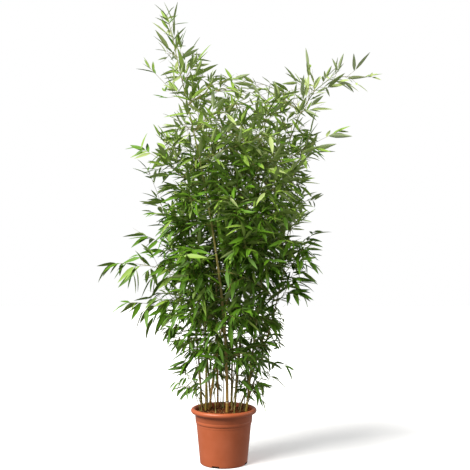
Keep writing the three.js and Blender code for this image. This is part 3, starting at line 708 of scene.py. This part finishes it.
def roomiest_stem(seed, earlier, joints, leaf, end_reach):
    """Of all joints and headings, the stem that stays furthest from the stems before it."""
    rows, ats, tangents, offsets = joints
    turns = np.radians(360 / HEADINGS * (np.arange(HEADINGS) + chance(seed, 2)))
    headings = np.stack([np.cos(turns), np.sin(turns), np.zeros(HEADINGS)], -1)
    at = np.repeat(ats, HEADINGS, 0)
    heading = np.tile(headings, (len(rows), 1))
    way = heading + UP * (LIFT + LIFT_SPREAD * chance(seed, 1))
    length = np.full(len(at), float(SHORTEST))
    growing = np.ones(len(at), bool)
    while growing.any():
        beyond = at + way * (length + LEAF_BEYOND * leaf)[:, None]
        growing &= (length < LONGEST) & (outsideness(beyond) < 1)
        length[growing] += LENGTH_STEP
    end = at + way * length[:, None]
    reach = np.where(end[:, 0] < 0, *end_reach)
    inside = (outsideness(end) <= reach) & (outsideness(end + heading * LEAF_OUT * leaf) <= 1)
    pick = np.flatnonzero(inside)
    row = pick // HEADINGS
    start, control, end = side_stem_points(ats[row], tangents[row], end[pick], offsets[row, None])
    places = np.stack([(1 - t) ** 2 * start + 2 * t * (1 - t) * control + t * t * end
                       for t in STEM_MARKS], 1)
    lines = np.array([spray.line for spray in earlier])
    rooms = distances(places, lines[:, :-1].reshape(-1, 3), lines[:, 1:].reshape(-1, 3)).min(-1)
    room = rooms.min(-1) + END_ROOM * rooms[:, -1]
    clear = np.ones(len(pick), bool)
    for limb in LIMBS:
        away, radius = limb.gap_to(places)
        clear &= (away > radius * JOINT_SWELL + CULM_ROOM).all(-1)
    for i in sorted(np.flatnonzero(clear), key=lambda n: -room[n]):
        limb, joint = rows[row[i]]
        if not touches_culm(limb, (start[i], control[i], end[i])):
            offset = offsets[row[i]] + CLEARANCE + STEM_RADIUS / 2
            return limb, joint, side_stem_points(ats[row[i]], tangents[row[i]], end[i], offset)


def lay_out_sprays():
    """Arms and tops first, then the sprays that fill the room between them, and the lesser arms."""
    made = []
    for row in ARMS:
        made.append(arm_spray(*row, ARM_SEED + len(made)))
    for limb in LIMBS:
        made.append(top_spray(limb, TOP_SEED + len(made)))
    kinds = [("spray", candidate_joints(), SOLID_LEAF, END_REACH)] * SOLID_SPRAYS
    kinds += [("fine", candidate_joints(FINE_LEAFY), LEAF_LENGTH, FINE_END_REACH)] * FINE_SPRAYS
    numbers = dict.fromkeys([limb.name for limb in LIMBS], 0)
    for i, (kind, *rule) in enumerate(kinds):
        limb, joint, points = roomiest_stem(i + 1, made, *rule)
        numbers[limb.name] += 1
        name = f"{kind}_{limb.name}_{numbers[limb.name]}"
        made.append(Spray(name, i + 1, limb, joint, points, False))
    for i, row in enumerate(FINE_ARMS):
        made.append(arm_spray(f"fine_{i + 1}", *row, FINE_ARM_SEED + i))
    return made


# Culms, ring by ring

CULM_SIDES, RING_SPACING = 14, 45
# millimetres from a joint, swelling of the radius, and the joint's mark on the skin
JOINT_RINGS = [(-9, 1.0, 0.0), (-5, 1.0, 0.45), (-2.2, 1.03, 0.55), (-1.2, 1.14, 1.0), (0, 1.17, 1.0),
               (1.0, 1.02, 0.85), (3.2, 1.09, 0.3), (5.5, 1.05, 0.1), (9, 0.97, 0.0)]


def culm_stations(limb):
    """Shares of the culm's length with the radius and the joint's mark at each."""
    length = limb.curve.length
    stations = [(0, limb.radius, 0.0)]
    for joint in limb.joints:
        radius = float(limb.radius_at(joint))
        sized = radius / limb.radius
        for off, swell, mark in JOINT_RINGS:
            # a joint is shorter where the culm is thinner
            reach = off * (0.55 + 0.45 * sized)
            stations.append((joint + reach / length, radius * swell, mark))
    stations.append((1, TIP_RADIUS, 0.0))
    filled = []
    for (a, ra, ma), (b, rb, mb) in zip(stations, stations[1:]):
        count = max(1, int((b - a) * length / RING_SPACING))
        filled += [(a + (b - a) * i / count, ra + (rb - ra) * i / count, ma if i == 0 else 0.0)
                   for i in range(count)]
    return filled + [stations[-1]]


def culm_shape(limb):
    """A ring drawn out along the culm: each copy is made in place, then the one before is moved."""
    up = Vector(UP)
    shape = bmesh.new()
    layer = shape.verts.layers.float.new("joint")
    ring = bmesh.ops.create_circle(shape, cap_ends=True, radius=1, segments=CULM_SIDES)["verts"]
    edges = list(shape.edges)
    stations = culm_stations(limb)
    for n, (share, radius, mark) in enumerate(stations):
        following = []
        if n < len(stations) - 1:
            drawn = bmesh.ops.extrude_edge_only(shape, edges=edges)["geom"]
            following = [item for item in drawn if isinstance(item, bmesh.types.BMVert)]
            edges = [item for item in drawn
                     if isinstance(item, bmesh.types.BMEdge) and item.is_boundary]
        along = Vector(limb.curve.heading(share)) if n else up
        turn = up.rotation_difference(along).to_matrix().to_4x4()
        place = Matrix.Translation(limb.curve.along(share)) @ turn @ Matrix.Scale(radius, 4)
        bmesh.ops.transform(shape, matrix=place, verts=ring)
        for vert in ring:
            vert[layer] = mark
        ring = following
    bmesh.ops.contextual_create(shape, geom=edges)
    bmesh.ops.recalc_face_normals(shape, faces=shape.faces)
    return shape


def make_culms():
    # the golden cane's pale tan middle is partly its own colour and partly painted light, lightened
    # where the crown's leaves shade it
    golden = bamboo_cane("golden_bamboo_cane", "#c39a4e", "#e6ca7c", "#a5ac58")
    olive = bamboo_cane("olive_bamboo_cane", "#ab9842", "#949648", "#768d3c")
    brown = bamboo_cane("brown_bamboo_cane", "#8f6f3c", "#877a3e", "#70843a")
    for limb in LIMBS:
        cane = golden if limb.name in ("main", "inner", "back_middle") else olive
        if limb.name in ("right", "front_right", "left"):
            cane = brown
        name = f"cane_{limb.name}"
        piece = place_piece(name, mesh_of(name, culm_shape(limb)), [cane], 50)
        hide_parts(f"culm_{limb.name}")


# Stems, twigs and leaves of life size

FINE_SPRAYS = 100  # besides the solids' own, to fill the crown with leaves of life size
FINE_LEAFY = 50  # they leave the culms this much lower down
LEAF_LENGTH, LEAF_WIDTH, LEAF_THICKNESS = 84, 17, 0.7
LEAF_LEAST, LEAF_SPREAD = 0.46, 0.66  # of that length
FOLD, CURL = 0.3, 0.07  # of a blade along its keel, and sideways
TWIG_LENGTH, TWIG_RADIUS = 56, 0.9
SAG, LONG_SAG = 0.2, 0.5  # of a twig's length
LEAF_SPACING, FIRST_LEAF = 9, 0.08  # along a twig, and the share of it where leaves start
LEAF_TRIES = 3  # at a leaf that would leave the crown or the box
TRY_STEP, LEAF_STEP, SEED_STEP = 0.13, 0.7, 31  # between the seeds of tries, leaves and sprays
# degrees between leaf and twig, and how far a twig's fan of leaves tilts and a leaf rolls
OPENING, OPENING_SPREAD, END_SPREAD, TILT_SPREAD, ROLL_SPREAD = 42, 30, 20, 55, 58
HANG, HANG_SPREAD, HANG_STRAY = 0.05, 0.85, 0.35
BEND, BEND_SPREAD = 0.04, 0.2
OTHER_TINT = 0.3  # share of the leaves that are one green lighter or darker than their spray
SPEARS, SPEAR_LENGTH = 0.14, 52
TWIGS, ARM_TWIGS, YOUNG_TWIGS, TIP_TWIGS = 10, 14, 6, 4
LEAFY_SHARE = 0.8  # of a stem, back from its end
# how much longer the twig at a stem's end is, and how many leaves more it has
END_TWIG, FREE_END_TWIG = (1.25, 1), (2.5, 4)
LEAVES_HEIGHT, LEAVES = (430, 520, 1000, 1400), (3.1, 6.0, 6.0, 2.9)  # on a twig, by height
RIM, RIM_LEAVES = (0.65, 0.88), (1, 0.75)  # and fewer toward the crown's rim
TOP_HEIGHT = 1400  # above it the stems carry fewer twigs
# from one of these heights to the other, leaves grow longer, narrower and more upright
YOUNG_HEIGHT, YOUNG_LONG, YOUNG_NARROW, YOUNG_LIFT = (1480, 1680), 0.12, 0.18, 0.4
LOW_HEIGHT, LOW_SIZE = (250, 620), (0.7, 1.0)
# from one of these heights to the other the tints turn lighter, partly for young growth and partly as
# painted light
YOUNG_AND_LIT_HEIGHT = (650, 1450)
FREE_HANG, FREE_LEAF = 0.55, 1.08  # more droop and larger leaves where a twig stands free
BOX_ROOM = 3  # from a leaf's tip to the solids' box
# twigs straight off a culm: the share of it where they start, and the space between them
ON_CULM_FROM, ON_CLEAR_FROM, ON_CULM_SPACE, MORE_SPACE = 0.74, 0.62, 34, 30
ROOTED = 4  # depth of a shoot's foot in the compost
LOW_TWIGS, LOW_RANGE, LOW_SEED = 2, (280, 410), 640
SHOOTS, SHOOT_SEED, SHOOT_TWIG = 11, 700, 36
SHOOT_FOOT, SHOOT_LEAN, SHOOT_RISE = (62, 98), (40, 135), (85, 160)
# foot, bend and end
LEANING = [((88, 30), (150, -10), (218, -40, 395)), ((92, -8), (105, -20), (128, -50, 325))]
OPEN_FROM, OPEN_TO, OPEN_WIDTH = 680, 980, 22  # where the oldest culm shows between the leaves
THIN_CANES, THIN_SEED = 7, 750
THIN_FOOT, THIN_LEAN, THIN_RISE = (30, 100), (40, 160), (330, 630)
# share of the leaf's length, half its width as a share of the widest
LEAF_STATIONS = [(0.0, 0.1), (0.09, 0.55), (0.3, 1.0), (0.6, 0.82), (0.85, 0.38)]
TINTS = [
    # name, upper face, underside, roughness
    # undersides are paler than upper faces, as on real bamboo leaves; those of the fresh and bright
    # tints at the top are lighter still, painted light that shines through the blade
    ("deep_leaf", "#4c7314", "#73903e", 0.52),
    ("mid_leaf", "#5e8a1b", "#859f46", 0.5),
    ("fresh_leaf", "#8bab42", "#a7bb72", 0.5),
    ("bright_leaf", "#aec075", "#c0d09c", 0.52),
]


class Growth:
    """Collects leaves, twigs and stems as arrays until they are joined into pieces."""

    def __init__(self):
        self.leaves = [[] for _ in TINTS]
        self.twigs = []
        self.stems = []


def hides_cane(place):
    """Whether a leaf there would hide the length of the oldest culm that is open to the front."""
    marks = LIMBS[0].marks
    mark = marks[int(np.interp(place[2], marks[:, 2], np.arange(CULM_MARKS)))]
    in_front = place[1] < mark[1] and abs(place[0] - mark[0]) < OPEN_WIDTH
    return in_front and OPEN_FROM < place[2] < OPEN_TO


def inside_box(place):
    low, high = np.array(CAD_BOX) / METRE
    return (place > low + BOX_ROOM).all() and (place < high - BOX_ROOM).all()


def across(direction):
    """A level heading at right angles to a direction."""
    level = np.array([direction[1], -direction[0], 0])
    length = math.hypot(level[0], level[1])
    return level / length if length > 1e-3 else np.array([1.0, 0, 0])


def grow_leaf(growth, tint, place, heading, roll, length, width, bend, curl):
    """Adds one leaf if it stays inside the plant's box. Bend is downward and curl sideways."""
    level = across(heading)
    over = np.cross(level, heading)
    side = level * math.cos(roll) + over * math.sin(roll)
    over = np.cross(side, heading)
    down = over if over[2] < 0 else -over
    shares = np.array([share for share, _ in LEAF_STATIONS] + [1.0])
    bow = np.outer(shares ** 2, down * bend + side * curl)
    spine = place + length * (np.outer(shares, heading) + bow)
    root, body, tip = spine[[0, 3, -1]]
    if not (inside_box(tip) and inside_box(body)) or hides_cane(body) or hides_cane(root):
        return False
    growth.leaves[tint].append((spine, side, over, width))
    return True


def grow_twig(growth, start, direction, length, seed, leaves, tint, bound):
    """A thin twig that sags a little, with leaves to its left and right in turn and one at its end.

    The leaves of a bound twig stay inside the crown's outline, and those of the others stand free.
    """
    droop = droop_at(start[2])
    young = float(np.interp(start[2], YOUNG_HEIGHT, (0, 1)))
    size = (0.6 + 0.4 * size_at(start[2])) * float(np.interp(start[2], LOW_HEIGHT, LOW_SIZE))
    bow = -UP * length * max(droop, 0) * (LONG_SAG if length > 2 * TWIG_LENGTH else SAG)
    line = start + np.outer([0, 0.35, 0.7, 1], direction) * length + np.outer([0, 0.12, 0.49, 1], bow)
    growth.twigs.append((line, TWIG_RADIUS, TWIG_RADIUS * 0.55))
    ahead = unit(line[3] - line[2])
    tilt = math.radians(spread(seed, 45, TILT_SPREAD))
    level = across(direction)
    flat = level * math.cos(tilt) + np.cross(level, direction) * math.sin(tilt)
    larger, more_hang = (1, 0) if bound else (FREE_LEAF, FREE_HANG)
    for i in range(leaves):
        share = max(1 - i * LEAF_SPACING * size / length, FIRST_LEAF)
        place = start + direction * length * share + bow * share ** 2
        for attempt in range(LEAF_TRIES):
            s = seed + TRY_STEP * attempt + LEAF_STEP * i
            aside = (1 if i % 2 else -1) * (OPENING + spread(s, 41, OPENING_SPREAD))
            turn = math.radians(aside if i else spread(s, 40, END_SPREAD))
            hang = max(droop, 0) * (HANG + HANG_SPREAD * chance(s, 50) + more_hang)
            hang += spread(s, 51, HANG_STRAY) - young * YOUNG_LIFT * chance(s, 52)
            heading = unit(ahead * math.cos(turn) + flat * math.sin(turn) - UP * hang)
            grown = LEAF_LEAST + YOUNG_LONG * young + LEAF_SPREAD * chance(s, 70) ** 1.2
            long = LEAF_LENGTH * size * grown * larger
            if bound and outsideness(place + heading * long) > REACH_SLACK:
                continue
            own = tint
            if chance(s, 80) < OTHER_TINT:
                own = min(max(tint + (1 if chance(s, 81) > 0.5 else -1), 0), len(TINTS) - 1)
            bend = (BEND + BEND_SPREAD * chance(s, 90)) * min(max(droop + 0.4, 0.25), 1)
            wide = LEAF_WIDTH * long / LEAF_LENGTH * (1 - YOUNG_NARROW * young) * larger
            roll = math.radians(spread(s, 60, ROLL_SPREAD))
            if grow_leaf(growth, own, place, heading, roll, long, wide, bend, spread(s, 91, CURL)):
                break
    if chance(seed, 97) < SPEARS:
        # a leaf that is still rolled up stands at the end like a needle
        spear = line[3] + (ahead + UP * 0.25) * SPEAR_LENGTH * size
        if inside_box(spear):
            needle = np.array([line[3], (line[3] + spear) / 2, spear])
            growth.twigs.append((needle, TWIG_RADIUS * 0.8, 0.25))


def tint_of(place, seed):
    """Lighter tints at the top and rim, partly for young growth and partly as painted light, and the
    deep tint in the heart of the crown as painted shade.
    """
    low, high = YOUNG_AND_LIT_HEIGHT
    height = min(max((place[2] - low) / (high - low), 0), 1)
    score = chance(seed, 95) * (1.4 - 0.7 * height) + 2.5 * height
    # painted shade: the deeper inside the crown, the darker the tint
    score += 0.5 * float(outsideness(place)) - 0.3
    return int(min(max(score, 0), len(TINTS) - 1))


def grow_off(growth, curve, share, turn, opening, *twig):
    """A twig off a limb at a share of its length. Turn is round the limb, and opening away from it."""
    along = curve.heading(share)
    turn, opening = math.radians(turn), math.radians(opening)
    side = across(along)
    round_limb = side * math.cos(turn) + np.cross(side, along) * math.sin(turn)
    heading = unit(along * math.cos(opening) + round_limb * math.sin(opening))
    grow_twig(growth, curve.along(share), heading, *twig)


def grow_spray(growth, spray):
    """A stem from its culm's joint with twigs round it."""
    curve, seed = spray.curve, spray.seed
    end = curve.along(1)
    tint = tint_of(end, seed)
    anchor = spray.limb.curve.along(spray.joint)
    stem = curve.along(np.linspace(0, 1, 9))
    growth.stems.append((np.vstack([anchor, stem]), 1.7 * size_at(stem[0][2]), TWIG_RADIUS))
    if end[2] > TOP_HEIGHT:
        count = TIP_TWIGS if spray.joint == 1 else YOUNG_TWIGS
    else:
        count = ARM_TWIGS if spray.free and spray.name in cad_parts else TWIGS
    leaves = float(np.interp(end[2], LEAVES_HEIGHT, LEAVES))
    leaves = round(leaves * float(np.interp(outsideness(end), RIM, RIM_LEAVES)))
    for i in range(count):
        # the first twig goes on from the stem's end
        longer, more = (1, 0) if i else (FREE_END_TWIG if spray.free else END_TWIG)
        share = 1 - LEAFY_SHARE * i / (count - 1)
        length = TWIG_LENGTH * size_at(curve.along(share)[2]) * (1 + spread(seed, 30 + i, 0.35))
        grow_off(growth, curve, share, GOLDEN_TURN * i + 360 * chance(seed, 3),
                 (i > 0) * (46 + spread(seed, 10 + i, 16)), length * longer, seed * SEED_STEP + i,
                 leaves + more, tint, not spray.free)
    return tint


def grow_on_culm(growth, limb, number):
    """Twigs straight off the upper length of a culm, closer together near its tip."""
    length = limb.curve.length
    at = length * (ON_CLEAR_FROM if limb.clear else ON_CULM_FROM)
    i = 0
    while at < length - 8:
        seed = 500 + number * 40 + i
        place = limb.curve.along(at / length)
        reach = TWIG_LENGTH * size_at(place[2]) * between((0.75, 1.25), seed, 30)
        grow_off(growth, limb.curve, at / length, GOLDEN_TURN * i + 80 * number,
                 48 + spread(seed, 10, 14), reach, seed, 4, tint_of(place, seed), not limb.clear)
        at += (limb.clear or ON_CULM_SPACE) + MORE_SPACE * (1 - at / length) / (1 - ON_CLEAR_FROM)
        i += 1


def grow_low_twigs(growth):
    """Dark leafy twigs low on the culms, which half hide the open canes."""
    for number, limb in enumerate(LIMBS):
        for k in range(LOW_TWIGS):
            seed = LOW_SEED + LOW_TWIGS * number + k
            height = between(LOW_RANGE, seed, 1)
            share = float(np.interp(height, limb.marks[:, 2], np.linspace(0, 1, CULM_MARKS)))
            place = limb.curve.along(share)
            turn = math.atan2(place[1], place[0]) + math.radians(spread(seed, 2, 80))
            heading = unit(np.array([math.cos(turn), math.sin(turn), 0.5]))
            # tint 0, the deepest green, is painted shade for the crown's shadow low down
            grow_twig(growth, place, heading, TWIG_LENGTH * 1.3, seed, 4, 0, False)


def grow_shoot(growth, curve, marks, radii, twigs):
    """A stem of its own from the compost, with the twigs that grow_off takes."""
    growth.stems.append((curve.along(np.linspace(0, 1, marks)), *radii))
    for twig in twigs:
        grow_off(growth, curve, *twig)


def grow_shoots(growth):
    """Low shoots round the clump: short, thin and leaning out, with small narrow leaves."""
    for i in range(SHOOTS):
        seed = SHOOT_SEED + i
        turn = math.radians(GOLDEN_TURN * i - 8)
        out = unit(np.array([math.cos(turn), 0.8 * abs(math.sin(turn)) - 0.2, 0]))
        foot = out * between(SHOOT_FOOT, seed, 1) + UP * (SOIL_LEVEL - ROOTED)
        end = foot + out * between(SHOOT_LEAN, seed, 2) + UP * between(SHOOT_RISE, seed, 3)
        # their leaves take tint 0, the deepest green, as painted shade for the crown's shadow over them
        twigs = [(1 - 0.15 * k, GOLDEN_TURN * k + 90 * i, (k > 0) * (50 + spread(seed, 10 + k, 14)),
                  SHOOT_TWIG, seed * SEED_STEP + k, 3, 0, False) for k in range(4)]
        grow_shoot(growth, Curve(foot, foot + UP * 45 + out * 8, end), 8, (1.6, 0.8), twigs)
    for i, (foot, bend, end) in enumerate(LEANING):
        # two that arch out to the right
        curve = Curve((*foot, SOIL_LEVEL - ROOTED), (*bend, end[2] - 20), end)
        # tint 0 again, as painted shade for the crown's shadow
        twigs = [(1 - 0.14 * k, GOLDEN_TURN * k, (k > 0) * 50, 44,
                  SHOOT_SEED + 20 * (i + 1) + k, 3, 0, False) for k in range(4)]
        grow_shoot(growth, curve, 8, (1.8, 0.9), twigs)


def grow_thin_canes(growth):
    """Young canes of a few millimetres between the old ones, which end inside the crown."""
    for i in range(THIN_CANES):
        seed = THIN_SEED + i
        turn = math.radians(GOLDEN_TURN * i + 40)
        out = np.array([math.cos(turn), math.sin(turn), 0])
        foot = out * between(THIN_FOOT, seed, 1) + UP * (SOIL_LEVEL - ROOTED)
        rise = between(THIN_RISE, seed, 2)
        end = foot + out * between(THIN_LEAN, seed, 3) + UP * rise
        twigs = [(1 - 0.085 * k, GOLDEN_TURN * k + 50 * i, 48 + spread(seed, 10 + k, 14),
                  TWIG_LENGTH * 0.9, seed * SEED_STEP + k, 4, k % 3, True) for k in range(7)]
        curve = Curve(foot, foot + UP * rise * 0.55 + out * 10, end)
        grow_shoot(growth, curve, 14, (2.3, 1.1), twigs)


def leaf_piece(name, leaves, materials):
    """Joins leaves: each is a closed blade folded along its keel, with a slot for its underside."""
    count, rows = len(leaves), len(LEAF_STATIONS)
    spines, sides, overs, widths = (np.array(values) for values in zip(*leaves))
    half = widths[:, None] / 2 * np.array([width for _, width in LEAF_STATIONS])
    middle = spines[:, :rows]
    reach = half[..., None] * sides[:, None]
    lift = overs[:, None] * (FOLD * half)[..., None]
    body = overs[:, None] * (LEAF_THICKNESS / 2)
    corners = np.stack([middle - reach + lift, middle + body, middle + reach + lift, middle - body], 2)
    corners = np.concatenate([corners.reshape(count, rows * 4, 3), spines[:, rows:]], 1)
    tip = rows * 4
    quads = np.vstack([ring_quads(rows, 4), (3, 2, 1, 0)])
    tris = np.array([(tip - 4 + k, tip - 4 + (k + 1) % 4, tip) for k in range(4)])
    ring_slots = [0, 0, 1, 1]
    offset = (np.arange(count) * (tip + 1))[:, None, None]
    mesh = joined_mesh(name, corners.reshape(-1, 3), (quads + offset).reshape(-1, 4),
                       (tris + offset).reshape(-1, 3),
                       np.tile(ring_slots * (rows - 1) + [0], count), np.tile(ring_slots, count))
    u = np.tile([0, 0.5, 1, 0.5], rows)
    v = np.repeat([share for share, _ in LEAF_STATIONS], 4)
    uv = np.concatenate([np.stack([u, v], -1), [[0.5, 1.0]]])
    index = np.empty(len(mesh.loops), np.int32)
    mesh.loops.foreach_get("vertex_index", index)
    layer = mesh.uv_layers.new(name="blade")
    layer.data.foreach_set("uv", uv[index % (tip + 1)].astype(np.float32).reshape(-1))
    return place_piece(name, mesh, materials, 38)


def tube_piece(name, tubes, material, sides):
    """Joins thin closed tubes: [(line of places, radius at the root, radius at the end), ...]."""
    corners, quads, tris = [], [], []
    base = 0
    turns = np.arange(sides) * 2 * math.pi / sides
    for line, start_radius, end_radius in tubes:
        along = unit(np.gradient(line, axis=0))
        side = unit(np.cross(along, [0.31, 0.17, 0.94]) + 1e-6)
        over = np.cross(along, side)
        radius = np.linspace(start_radius, end_radius, len(line))[:, None, None]
        ring = side[:, None] * np.cos(turns)[:, None] + over[:, None] * np.sin(turns)[:, None]
        corners += [(line[:, None] + ring * radius).reshape(-1, 3), line[[0, -1]]]
        quads.append(base + ring_quads(len(line), sides))
        cap = base + len(line) * sides
        for k in range(sides):
            n = (k + 1) % sides
            tris += [(base + n, base + k, cap), (cap - sides + k, cap - sides + n, cap + 1)]
        base = cap + 2
    mesh = joined_mesh(name, np.concatenate(corners), np.concatenate(quads), np.array(tris))
    return place_piece(name, mesh, [material], 70)


def make_foliage():
    growth = Growth()
    nodes = [[] for _ in TINTS]
    for spray in lay_out_sprays():
        tint = grow_spray(growth, spray)
        if spray.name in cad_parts:
            nodes[tint].append(spray.name)
    for number, limb in enumerate(LIMBS):
        grow_on_culm(growth, limb, number)
    grow_low_twigs(growth)
    grow_shoots(growth)
    grow_thin_canes(growth)
    twig = green_twig()
    tube_piece("stems", growth.stems, twig, 6)
    tube_piece("twigs", growth.twigs, twig, 4)
    for tint, (name, upper, underside, roughness) in enumerate(TINTS):
        faces = [leaf_blade(name, upper, roughness), leaf_blade(f"{name}_underside", underside, 0.6)]
        piece = leaf_piece(name, growth.leaves[tint], faces)
        if nodes[tint]:
            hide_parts(*nodes[tint])


# The stage

def make_stage():
    shape = bmesh.new()
    bmesh.ops.create_grid(shape, x_segments=1, y_segments=1, size=FLOOR_SIZE)
    floor = bpy.data.objects.new("floor", mesh_of("floor", shape))
    # matt white paper, which glows a little so that it meets the backdrop without an edge
    material = new_material("white_paper_sweep")
    finish_surface(material, Base_Color=linear("#f8f8f8"), Roughness=0.9,
                   Emission_Color=linear("#ffffff"), Emission_Strength=FLOOR_GLOW)
    floor.data.materials.append(material)
    scene.collection.objects.link(floor)
    floor.visible_diffuse = False
    floor.visible_glossy = False
    world = bpy.data.worlds.new("studio")
    scene.world = world
    world.use_nodes = True
    world.node_tree.nodes.clear()
    # the camera sees full white, and the plant is lit by a share of it
    seen = add_node(world, "LightPath").outputs["Is Camera Ray"]
    strength = add_node(world, "MapRange",
                        {"Value": seen, "To Min": AMBIENT, "To Max": 1.0})
    back = add_node(world, "Background", {"Color": (1, 1, 1, 1),
                                          "Strength": strength.outputs["Result"]})
    add_node(world, "OutputWorld", {"Surface": back.outputs["Background"]})


make_stage()
make_pot()
make_soil()
make_chips()
make_culms()
make_foliage()
